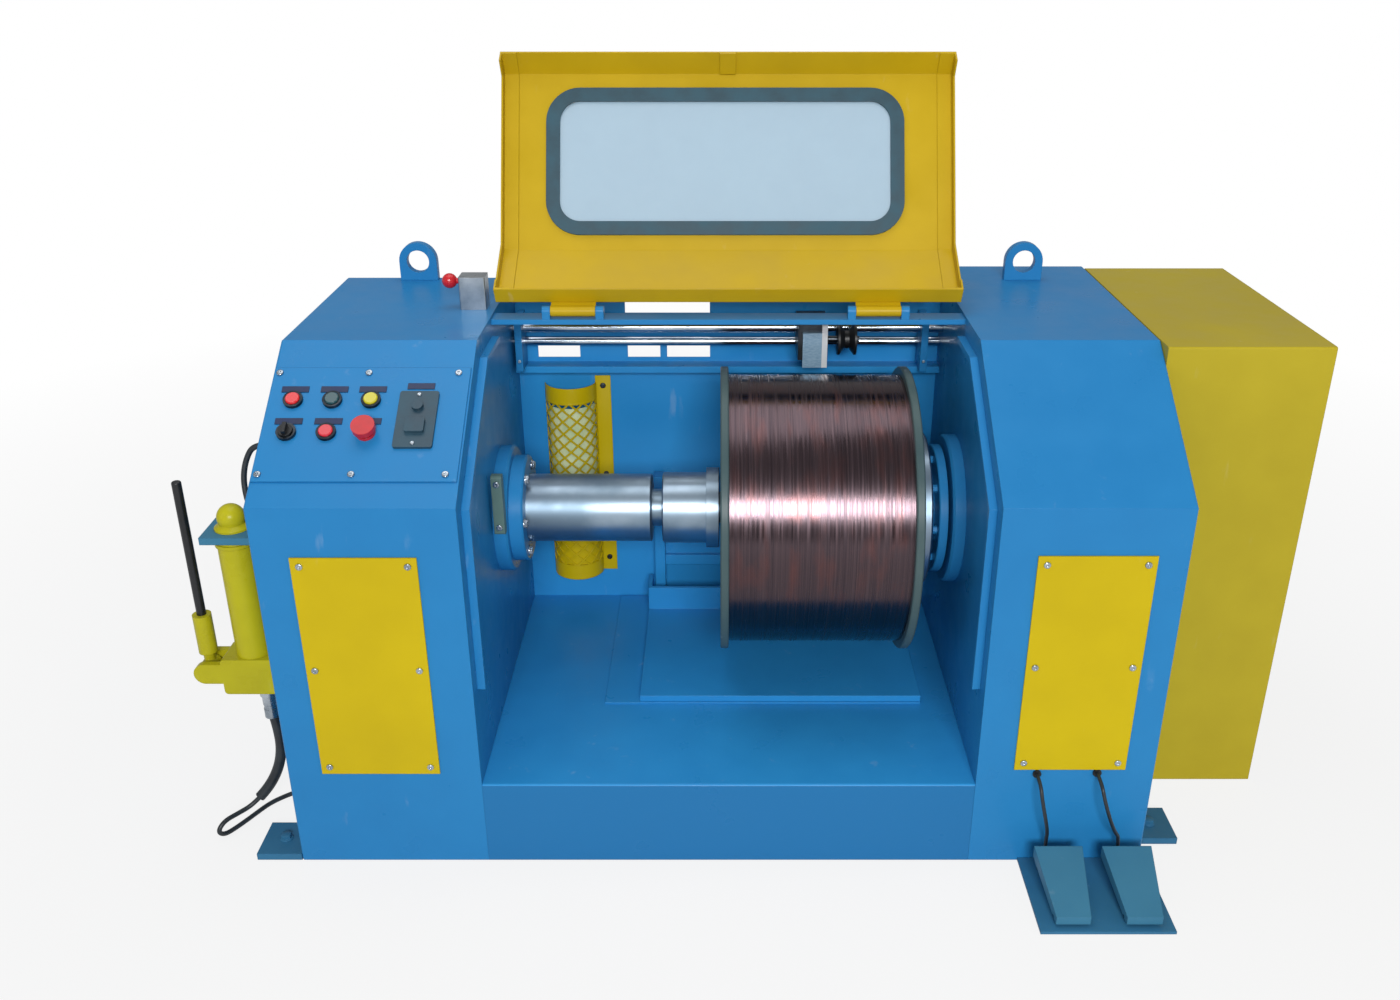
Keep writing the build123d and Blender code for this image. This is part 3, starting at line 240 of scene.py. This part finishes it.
CLAMP_GREY = enamel("clamp_grey_paint", linear(96, 122, 116), linear(74, 100, 100), 0.4, 0.4)
SOCKET_GREY = moulded("socket_grey_plastic", linear(44, 76, 92), linear(34, 62, 78), 0.4)
RED = moulded("red_plastic", linear(206, 34, 44), linear(182, 24, 34), 0.22)
NAVY = moulded("label_plate", linear(26, 44, 84), linear(18, 34, 70), 0.4)
CORD = moulded("cord_jacket", linear(36, 44, 50), linear(24, 30, 36), 0.42)
LINER = moulded("guard_liner_sheet", linear(214, 222, 178), linear(190, 206, 160), 0.26)


def copper_windings():
    """Copper wire in tight turns: dull brown layers, redder in patches, with a streaky shine."""
    finish = Finish("copper_wire", metallic=1.0)
    turns = finish.noise(1.0, 2.0, (1500.0, 3.0, 3.0))
    streaks = finish.noise(1.0, 4.0, (240.0, 5.0, 5.0))
    patches = finish.noise(1.0, 4.0, (30.0, 9.0, 9.0))
    dull = finish.mix(finish.band(turns, 0.3, 0.7), linear(66, 58, 64), linear(96, 80, 84))
    finish.set("Base Color", finish.mix(finish.band(patches, 0.5, 0.75) * 0.5, dull, linear(126, 78, 72)))
    finish.set("Roughness", finish.band(streaks, 0.25, 0.75, 0.12, 0.36))
    finish.bump(turns * 0.4 + streaks * 0.6, 0.22, 0.0006)
    return finish.material


def carriage_sheet():
    """Zinc-plated plate with a pale rib on its right edge."""
    rib_left = 0.1838
    finish = Finish("carriage_zinc", metallic=0.35)
    grain = finish.noise(160.0, 3.0, (1, 1, 5))
    face = finish.mix(finish.band(grain, 0.35, 0.65), linear(132, 168, 196), linear(158, 190, 212))
    finish.set("Base Color", finish.mix(finish.x > rib_left, face, linear(232, 238, 242)))
    finish.set("Roughness", finish.band(grain, 0.3, 0.7, 0.32, 0.44))
    finish.bump(grain, 0.1, 0.0002, 0.0008)
    return finish.material


def button_caps():
    """Coloured caps, told apart by where they sit on the panel."""
    finish = Finish("button_caps", roughness=0.2)
    first_column = finish.x < -0.628
    last_column = finish.x > -0.568
    lower_row = finish.y < FRONT + 0.135
    colour = finish.mix(first_column, linear(20, 70, 78), linear(214, 34, 40))
    colour = finish.mix(last_column, colour, linear(196, 186, 30))
    colour = finish.mix(lower_row, colour, linear(206, 40, 56))
    finish.set("Base Color", colour)
    finish.bump(finish.noise(600.0), 0.08, 0.0002, 0.0008)
    finish.shader.inputs["Coat Weight"].default_value = 0.4
    return finish.material


def window_glass():
    """Clear pane that shows the pale background with a slight blue cast."""
    finish = Finish("window_glass")
    smear = finish.noise(9.0, 4.0)
    finish.set("Base Color", finish.mix(smear, linear(164, 192, 212), linear(172, 200, 218)))
    finish.set("Alpha", finish.band(smear, 0.2, 0.8, 0.68, 0.72))
    finish.set("Roughness", finish.band(smear, 0.3, 0.7, 0.04, 0.10))
    return finish.material


COPPER = copper_windings()
ZINC = carriage_sheet()
BUTTONS = button_caps()
GLASS = window_glass()

# Which nodes of the construction each finish goes on
dressing = {
    BLUE: ["left_housing", "right_housing", "hinge_beam", "rim_strips", "lifting_lugs",
           "left_bearing_housing", "right_bearing_housing", "spindle_flange", "traverse_brackets",
           "control_panel"],
    WELL_BLUE_PAINTED_LIGHT: ["base_pan", "back_wall", "lift_guide", "lift_platform"],
    YELLOW: ["access_panels"],
    COVER_YELLOW: ["cover_shell", "cover_hinges"],
    DRIVE_YELLOW: ["drive_box"],
    TEAL: ["pump_bracket", "pedal_left", "pedal_right"],
    FOOT_TEAL: ["foot_plates", "pedal_base"],
    PUMP_YELLOW: ["pump_body", "pump_cylinder", "pump_lever"],
    STEEL: ["quill", "quill_nose", "drive_disc"],
    DARK_STEEL: ["traverse_carriage", "button_bezels"],
    CLAMP_GREY: ["quill_clamp"],
    CHROME: ["traverse_rods"],
    ALUMINIUM: ["cover_latch"],
    ZINC: ["carriage_plate"],
    REEL_STEEL: ["reel_flange_left", "reel_flange_right"],
    RUBBER: ["window_seal"],
    SOCKET_GREY: ["socket_plate"],
    BLACK: ["selector_switch", "guide_pulley", "lever_handle", "cord_grommets"],
    RED: ["emergency_stop", "latch_knob"],
    NAVY: ["legend_plates"],
    BUTTONS: ["push_buttons"],
    GLASS: ["window_pane"],
}
for material, nodes in dressing.items():
    for node in nodes:
        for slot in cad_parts[node].material_slots:
            slot.material = material


def free_cord(name, route, radius, **facts):
    """One smooth cord on its route; the real length given to it is not used."""
    curve = bpy.data.curves.new(name, "CURVE")
    curve.dimensions = "3D"
    curve.bevel_depth = radius
    curve.bevel_resolution = 6
    curve.resolution_u = 12
    curve.use_fill_caps = True
    spline = curve.splines.new("NURBS")
    spline.points.add(len(route) - 1)
    for point, (x, behind, z) in zip(spline.points, route):
        point.co = (x / 1000, FRONT + behind / 1000, z / 1000, 1)
    spline.order_u = 3
    spline.use_endpoint_u = True
    piece = bpy.data.objects.new(name, curve)
    bpy.context.collection.objects.link(piece)
    curve.materials.append(CORD)
    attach(piece, "root")
    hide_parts(name.replace("_flex", ""))
    x, behind, z = route[0]


# Cords and hoses: the routes of the construction, x, distance behind the front plates and z, in millimetres
pedal_cord_left_route = [
    (510, -3, 176), (510, -29, 176), (513, -40, 151), (521, -42, 117),
    (529, -34, 86), (533, -20, 62), (533, -20, 36),
]
pedal_cord_right_route = [
    (607, -3, 178), (607, -29, 178), (612, -41, 153), (623, -45, 120),
    (637, -38, 88), (652, -20, 64), (652, -20, 36),
]
pump_hose_route = [
    (-761, 125, 265), (-761, 125, 226), (-755, 125, 182), (-754, 124, 138),
    (-764, 121, 98), (-784, 115, 62), (-800, 109, 46),
]
pump_line_route = [
    (-800, 109, 46), (-814, 103.75, 32), (-832, 84, 30), (-848, 62, 31), (-857, 50, 18),
    (-851, 58, 4.5), (-836, 79, 4.5), (-818, 112, 4.5), (-800, 146, 4.5), (-770, 172, 5),
    (-735, 187, 8), (-703, 187, 8),
]
pump_return_route = [
    (-738, 125, 557), (-738, 125, 583), (-744, 128, 612), (-745, 133, 641),
    (-738, 138, 669), (-724, 141, 691), (-703, 141, 691),
]
free_cord("pedal_cord_left_flex", pedal_cord_left_route, 0.003, length=0.172, far_end="object",
          stiffness="limp", lay="loose")
free_cord("pedal_cord_right_flex", pedal_cord_right_route, 0.003, length=0.182, far_end="object",
          stiffness="limp", lay="loose")
free_cord("pump_hose_flex", pump_hose_route, 0.009, length=0.233, far_end="object",
          stiffness="medium", lay="loose")
free_cord("pump_line_flex", pump_line_route, 0.004, length=0.316, far_end="object",
          stiffness="limp", lay="loose")
free_cord("pump_return_flex", pump_return_route, 0.0045, length=0.160, far_end="object",
          stiffness="medium", lay="loose")


def choose(*pieces):
    """Selects only these pieces and makes the first one active, so that an operator acts on them alone."""
    for thing in bpy.context.selected_objects:
        thing.select_set(False)
    for piece in pieces:
        piece.select_set(True)
    if pieces:
        bpy.context.view_layer.objects.active = pieces[0]


def start(primitive, **shape):
    """Adds one primitive, alone in the selection."""
    choose()
    primitive(**shape)
    return bpy.context.object


def settle(piece):
    """Puts the piece's place, turn and size into its mesh."""
    choose(piece)
    bpy.ops.object.transform_apply(location=True, rotation=True, scale=True)


def edit(piece):
    """Opens the piece in edit mode, by faces, with nothing selected."""
    choose(piece)
    bpy.ops.object.mode_set(mode="EDIT")
    bpy.ops.mesh.select_mode(type="FACE")
    bpy.ops.mesh.select_all(action="DESELECT")


def choose_faces(piece, wanted):
    """Selects the faces of the open piece that the test picks out."""
    shape = bmesh.from_edit_mesh(piece.data)
    for face in shape.faces:
        face.select_set(bool(wanted(face)))
    bmesh.update_edit_mesh(piece.data)


def leave():
    """Goes back from edit mode to object mode."""
    bpy.ops.object.mode_set(mode="OBJECT")


def apply_modifier(piece, kind, **settings):
    """Adds one modifier, sets it and applies it."""
    choose(piece)
    made = piece.modifiers.new("shape", kind)
    for key, value in settings.items():
        setattr(made, key, value)
    bpy.ops.object.modifier_apply(modifier=made.name)


def join(first, *others):
    """Joins settled pieces into the first."""
    choose(first, *others)
    bpy.ops.object.join()
    return first


def hand_over(piece, name, body, material, replaces=None):
    """Names a finished piece, gives it its finish and lets it ride on its body."""
    settle(piece)
    piece.name = name
    piece.data.name = name
    piece.data.materials.clear()
    piece.data.materials.append(material)
    choose(piece)
    bpy.ops.object.shade_smooth_by_angle(angle=math.radians(35))
    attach(piece, body)
    if replaces:
        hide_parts(replaces)


def copies(pattern, name, places, body, material):
    """Copies of one modelled piece, each standing at its place along its own direction."""
    made = []
    for place, facing in places:
        copy = pattern.copy()
        copy.data = pattern.data.copy()
        bpy.context.collection.objects.link(copy)
        turn = Vector(facing).to_track_quat("Z", "Y").to_matrix().to_4x4()
        copy.matrix_world = Matrix.Translation(place) @ turn
        made.append(copy)
    for copy in made:
        settle(copy)
    hand_over(join(*made), name, body, material)


def pan_screw(radius, height):
    """A domed screw head with a socket in it, standing on its seat."""
    screw = start(bpy.ops.mesh.primitive_cylinder_add, vertices=20, radius=radius, depth=height,
                  location=(0, 0, height / 2))
    settle(screw)
    edit(screw)
    choose_faces(screw, lambda face: face.normal.z > 0.9)
    bpy.ops.mesh.bevel(offset=height * 0.45, segments=3, affect="EDGES")
    choose_faces(screw, lambda face: face.normal.z > 0.99 and face.calc_area() > radius * radius)
    bpy.ops.mesh.inset(thickness=radius * 0.38)
    bpy.ops.mesh.extrude_region_move(TRANSFORM_OT_translate={"value": (0, 0, -height * 0.45)})
    leave()
    return screw


def hex_bolt(radius, height):
    """A hexagon head on a round washer, standing on its seat."""
    washer = start(bpy.ops.mesh.primitive_cylinder_add, vertices=24, radius=radius * 1.25,
                   depth=height * 0.25, location=(0, 0, height * 0.125))
    settle(washer)
    edit(washer)
    choose_faces(washer, lambda face: face.normal.z > 0.9)
    bpy.ops.mesh.bevel(offset=height * 0.06, segments=2, affect="EDGES")
    leave()
    head = start(bpy.ops.mesh.primitive_cylinder_add, vertices=6, radius=radius, depth=height * 0.8,
                 location=(0, 0, height * 0.6))
    settle(head)
    edit(head)
    choose_faces(head, lambda face: face.normal.z > 0.9)
    bpy.ops.mesh.inset(thickness=radius * 0.12)
    bpy.ops.transform.translate(value=(0, 0, height * 0.08))
    leave()
    return join(washer, head)


# The sloped panel: distances along the slope are measured from its foot
SLOPE = math.atan2(HOUSING_TOP - PANEL_FOOT_Z, PANEL_DEPTH)
SLOPE_OUT = Vector((0, -math.sin(SLOPE), math.cos(SLOPE)))


def on_slope(x, along, out):
    """A point on the sloped panel, out from the blue sheet."""
    foot = Vector((x, FRONT + along * math.cos(SLOPE), PANEL_FOOT_Z + along * math.sin(SLOPE)))
    return foot + SLOPE_OUT * out


# Screws and bolts: each kind is modelled once, and its copies stand on their seats
screw_pattern = pan_screw(0.0055, 0.003)
small_screw_pattern = pan_screw(0.0032, 0.002)
bolt_pattern = hex_bolt(0.0075, 0.006)
anchor_pattern = hex_bolt(0.009, 0.008)

screw_edge = 0.014
panel_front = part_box("access_panels")[0][1]
access_places = []
for left, right, low, high in ((-0.643, -0.453, 0.177, 0.567), (0.472, 0.651, 0.185, 0.570)):
    for x in (left + screw_edge, right - screw_edge):
        for z in (low + screw_edge, (low + high) / 2, high - screw_edge):
            access_places.append(((x, panel_front, z), (0, -1, 0)))
copies(screw_pattern, "access_panel_screws", access_places, "root", SCREW_STEEL)

control_plate = 0.003
control_places = [(on_slope(x, along, control_plate), SLOPE_OUT)
                  for x in (-0.688, -0.549, -0.409) for along in (0.057, 0.245)]
copies(screw_pattern, "control_panel_screws", control_places, "root", SCREW_STEEL)

socket_x, socket_out = -0.464, 0.008
socket_places = [(on_slope(socket_x, along, socket_out), SLOPE_OUT) for along in (0.110, 0.200)]
copies(small_screw_pattern, "socket_plate_screws", socket_places, "root", SCREW_STEEL)

hub_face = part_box("left_bearing_housing")[1][0]
hub_circle = 0.077
hub_turns = [math.radians(angle) for angle in range(57, 360, 60)]
hub_places = [((hub_face, hub_circle * math.cos(turn), SPINDLE_Z + hub_circle * math.sin(turn)), (1, 0, 0))
              for turn in hub_turns]
copies(bolt_pattern, "left_bearing_bolts", hub_places, "root", SCREW_STEEL)

clamp_low, clamp_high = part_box("quill_clamp")
clamp_middle = (clamp_low[0] + clamp_high[0]) / 2
clamp_places = [((clamp_middle, clamp_low[1], z), (0, -1, 0))
                for z in (clamp_low[2] + screw_edge, clamp_high[2] - screw_edge)]
copies(screw_pattern, "quill_clamp_screws", clamp_places, "root", SCREW_STEEL)

anchor_x, foot_plate = 0.7375, 0.012
foot_places = [((side * anchor_x, FRONT + behind, foot_plate), (0, 0, 1))
               for side, behind in ((-1, 0.041), (-1, 0.601), (1, 0.081))]
copies(anchor_pattern, "anchor_bolts", foot_places, "root", FOOT_TEAL)


# Wire guard: yellow expanded metal rolled half round over a bright liner, with plain bands and a flange
GUARD_X = -0.290
GUARD_Y = FRONT + 0.640
GUARD_ARC = math.radians(160)
GUARD_RADIUS = 0.049
GUARD_COLUMNS = 5
GUARD_ROWS = 14
NET_SQUARES = 36


def rolled(sheet, radius, middle, thickness):
    """Gives a flat upright sheet its thickness and rolls it round the guard's axis."""
    settle(sheet)
    apply_modifier(sheet, "SOLIDIFY", thickness=thickness, offset=0)
    apply_modifier(sheet, "SIMPLE_DEFORM", deform_method="BEND", deform_axis="Z", angle=GUARD_ARC)
    sheet.location = (GUARD_X, GUARD_Y - radius, middle)
    settle(sheet)
    return sheet


def rolled_band(radius, low, high, thickness):
    """A plain half-round band."""
    band = start(bpy.ops.mesh.primitive_grid_add, x_subdivisions=32, y_subdivisions=2, size=1,
                 rotation=(math.pi / 2, 0, 0))
    band.scale = (radius * GUARD_ARC, high - low, 1)
    return rolled(band, radius, (low + high) / 2, thickness)


def rolled_net(radius, low, high, thickness, strand):
    """A half-round net of diamond openings."""
    width = radius * GUARD_ARC
    height = high - low
    net = start(bpy.ops.mesh.primitive_grid_add, x_subdivisions=NET_SQUARES, y_subdivisions=NET_SQUARES,
                size=NET_SQUARES / math.sqrt(2), rotation=(math.pi / 2, math.pi / 4, 0))
    settle(net)
    net.scale = (width / GUARD_COLUMNS, 1, height / GUARD_ROWS)
    settle(net)
    edit(net)
    for side, axis in ((width / 2, (1, 0, 0)), (width / 2, (-1, 0, 0)),
                       (height / 2, (0, 0, 1)), (height / 2, (0, 0, -1))):
        bpy.ops.mesh.select_all(action="SELECT")
        bpy.ops.mesh.bisect(plane_co=Vector(axis) * side, plane_no=axis, clear_outer=True)
    bpy.ops.mesh.select_all(action="SELECT")
    bpy.ops.mesh.inset(thickness=strand / 2, use_individual=True)
    bpy.ops.mesh.delete(type="FACE")
    bpy.ops.mesh.select_all(action="SELECT")
    bpy.ops.mesh.subdivide(number_cuts=1)
    leave()
    return rolled(net, radius, (low + high) / 2, thickness)


def guard_flange():
    """The flat flange beside the guard, with softened edges."""
    low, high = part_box("wire_guard")
    width, sheet = 0.030, 0.003
    flange = start(bpy.ops.mesh.primitive_cube_add, size=1,
                   location=(high[0] - width / 2, GUARD_Y - sheet / 2, (low[2] + high[2]) / 2))
    flange.scale = (width, sheet, high[2] - low[2])
    settle(flange)
    apply_modifier(flange, "BEVEL", width=0.0008, segments=2)
    return flange


guard_net = join(rolled_net(GUARD_RADIUS, 0.246, 0.593, 0.0018, 0.0036),
                 rolled_band(GUARD_RADIUS, 0.216, 0.248, 0.002),
                 rolled_band(GUARD_RADIUS, 0.590, 0.623, 0.002),
                 rolled_band(GUARD_RADIUS - 0.002, 0.244, 0.302, 0.001),
                 guard_flange())
hand_over(guard_net, "guard_net", "root", YELLOW, "wire_guard")
liner = rolled_band(GUARD_RADIUS - 0.0035, 0.300, 0.582, 0.0012)
hand_over(liner, "guard_liner", "root", LINER)
flange_places = [((-0.228, GUARD_Y - 0.003, z), (0, -1, 0)) for z in (0.245, 0.430, 0.615)]
copies(screw_pattern, "guard_screws", flange_places, "root", DARK_STEEL)


def wound_wire():
    """The winding: a slightly uneven line of turns, spun round the spindle line."""
    low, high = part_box("wire_winding")
    left, right, outside = low[0], high[0], high[1] - 0.0008
    turns = start(bpy.ops.mesh.primitive_grid_add, x_subdivisions=200, y_subdivisions=1, size=1,
                  location=((left + right) / 2, 0.5, 0))
    turns.scale = (right - left, 1, 1)
    settle(turns)
    edit(turns)
    bpy.ops.mesh.select_mode(type="VERT")
    shape = bmesh.from_edit_mesh(turns.data)
    for point in shape.verts:
        point.select_set(point.co.y > 0.5)
    bmesh.update_edit_mesh(turns.data)
    bpy.ops.mesh.delete(type="VERT")
    bpy.ops.mesh.select_all(action="SELECT")
    bpy.ops.transform.translate(value=(0, 0, SPINDLE_Z + outside))
    bpy.ops.transform.vertex_random(offset=0.00012, seed=4)
    bpy.ops.mesh.spin(steps=120, angle=2 * math.pi, center=(0, 0, SPINDLE_Z), axis=(1, 0, 0))
    bpy.ops.mesh.select_all(action="SELECT")
    bpy.ops.mesh.remove_doubles(threshold=0.00002)
    bpy.ops.mesh.fill_holes(sides=0)
    bpy.ops.mesh.select_all(action="SELECT")
    bpy.ops.mesh.normals_make_consistent(inside=False)
    leave()
    return turns


hand_over(wound_wire(), "wound_wire", "reel", COPPER, "wire_winding")


def hose_sleeve():
    """The crimped sleeve and nut at the top of the pump hose."""
    sleeve = start(bpy.ops.mesh.primitive_cylinder_add, vertices=32, radius=0.0115, depth=0.062,
                   location=(-0.761, FRONT + 0.125, 0.234))
    settle(sleeve)
    edit(sleeve)
    for level in (0.212, 0.220, 0.228, 0.246):
        bpy.ops.mesh.select_all(action="SELECT")
        bpy.ops.mesh.bisect(plane_co=(0, 0, level), plane_no=(0, 0, 1))
    for low, high, out in ((0.246, 0.266, 0.0025), (0.220, 0.228, -0.0008)):
        choose_faces(sleeve, lambda face: abs(face.normal.z) < 0.1
                     and low < face.calc_center_median().z < high)
        bpy.ops.mesh.extrude_region_shrink_fatten(TRANSFORM_OT_shrink_fatten={"value": out})
    leave()
    apply_modifier(sleeve, "BEVEL", width=0.0008, segments=2)
    return sleeve


hand_over(hose_sleeve(), "hose_sleeve", "root", SCREW_STEEL)

# Screws under the cover's hinge leaves and on the traverse brackets
hinge_places = [((x + step, 0.0535, 0.8461), (0, 0.5, -0.866))
                for x in (-0.250, 0.266) for step in (-0.034, 0.0, 0.034)]
copies(screw_pattern, "hinge_screws", hinge_places, "cover", SCREW_STEEL)

bracket_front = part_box("traverse_brackets")[0][1]
bracket_places = [((x, bracket_front, z), (0, -1, 0)) for x in (-0.3755, 0.3775) for z in (0.683, 0.757)]
copies(small_screw_pattern, "bracket_screws", bracket_places, "root", SCREW_STEEL)


def pale_floor():
    """A plain floor that looks near white to the camera and keeps the machine's shadow."""
    floor = start(bpy.ops.mesh.primitive_plane_add, size=80, location=(0, 0, -0.0005))
    floor.name = "floor"
    finish = Finish("pale_floor", roughness=0.8)
    finish.set("Base Color", linear(208, 209, 210))
    tree = finish.tree
    rays = tree.nodes.new("ShaderNodeLightPath")
    seen = Value(finish, rays.outputs["Is Camera Ray"])
    mirrored = Value(finish, rays.outputs["Is Glossy Ray"])
    through = Value(finish, rays.outputs["Is Transmission Ray"])
    far = finish.band((finish.x * finish.x + finish.y * finish.y) ** 0.5, 1.2, 3.2, 0.82, 1.0)
    glow = tree.nodes.new("ShaderNodeEmission")
    glow.inputs["Strength"].default_value = 1.0
    blend = tree.nodes.new("ShaderNodeMixShader")
    finish.link((seen + mirrored * 0.5 + through).limited() * far, blend.inputs[0])
    tree.links.new(finish.shader.outputs[0], blend.inputs[1])
    tree.links.new(glow.outputs[0], blend.inputs[2])
    tree.links.new(blend.outputs[0], tree.nodes["Material Output"].inputs[0])
    floor.data.materials.append(finish.material)


def white_world(level):
    """White to the camera and through glass, with an even level of light on the machine."""
    world = bpy.data.worlds.new("studio")
    bpy.context.scene.world = world
    world.use_nodes = True
    tree = world.node_tree
    rays = tree.nodes.new("ShaderNodeLightPath")
    backdrop = tree.nodes["Background"]
    backdrop.inputs["Color"].default_value = (1, 1, 1, 1)
    seen = tree.nodes.new("ShaderNodeMath")
    seen.operation = "ADD"
    seen.use_clamp = True
    tree.links.new(rays.outputs["Is Camera Ray"], seen.inputs[0])
    tree.links.new(rays.outputs["Is Transmission Ray"], seen.inputs[1])
    shown = tree.nodes.new("ShaderNodeMath")
    shown.operation = "MULTIPLY_ADD"
    shown.use_clamp = True
    shown.inputs[1].default_value = 0.05
    tree.links.new(rays.outputs["Is Glossy Ray"], shown.inputs[0])
    tree.links.new(seen.outputs[0], shown.inputs[2])
    strength = tree.nodes.new("ShaderNodeMath")
    strength.operation = "MULTIPLY_ADD"
    strength.inputs[1].default_value = 1.0 - level
    strength.inputs[2].default_value = level
    tree.links.new(shown.outputs[0], strength.inputs[0])
    tree.links.new(strength.outputs[0], backdrop.inputs["Strength"])


def soft_light(name, place, target, size, power):
    """A square lamp that faces a point."""
    lamp = bpy.data.lights.new(name, "AREA")
    lamp.shape = "RECTANGLE"
    lamp.size, lamp.size_y = size
    lamp.energy = power
    holder = bpy.data.objects.new(name, lamp)
    bpy.context.collection.objects.link(holder)
    holder.location = place
    holder.rotation_euler = (Vector(target) - Vector(place)).to_track_quat("-Z", "Y").to_euler()


def machine_camera():
    """The camera of the photograph."""
    camera = bpy.data.cameras.new("camera")
    camera.lens = CAMERA_LENS
    camera.sensor_width = 36.0
    camera.shift_x = (PHOTO_WIDTH / 2 - MIDDLE_COLUMN) / PHOTO_WIDTH
    holder = bpy.data.objects.new("camera", camera)
    bpy.context.collection.objects.link(holder)
    holder.location = CAMERA_PLACE
    holder.rotation_euler = (math.radians(90 - CAMERA_TILT), 0, 0)
    bpy.context.scene.camera = holder


for pattern in (screw_pattern, small_screw_pattern, bolt_pattern, anchor_pattern):
    bpy.data.objects.remove(pattern)

pale_floor()
white_world(0.30)
soft_light("front_lamp", (0.3, FRONT - 5.6, 3.1), (0.0, 0.0, 0.5), (2.2, 1.4), 290)
soft_light("top_lamp", (-0.3, 0.3, 3.2), (0.0, 0.0, 0.4), (2.6, 1.8), 28)
soft_light("left_lamp", (-3.0, FRONT - 1.2, 1.8), (-0.3, 0.0, 0.5), (1.2, 1.6), 6)
soft_light("right_lamp", (3.0, FRONT - 1.2, 1.8), (0.3, 0.0, 0.5), (1.2, 1.6), 6)
machine_camera()
bpy.context.scene.view_settings.view_transform = "Standard"
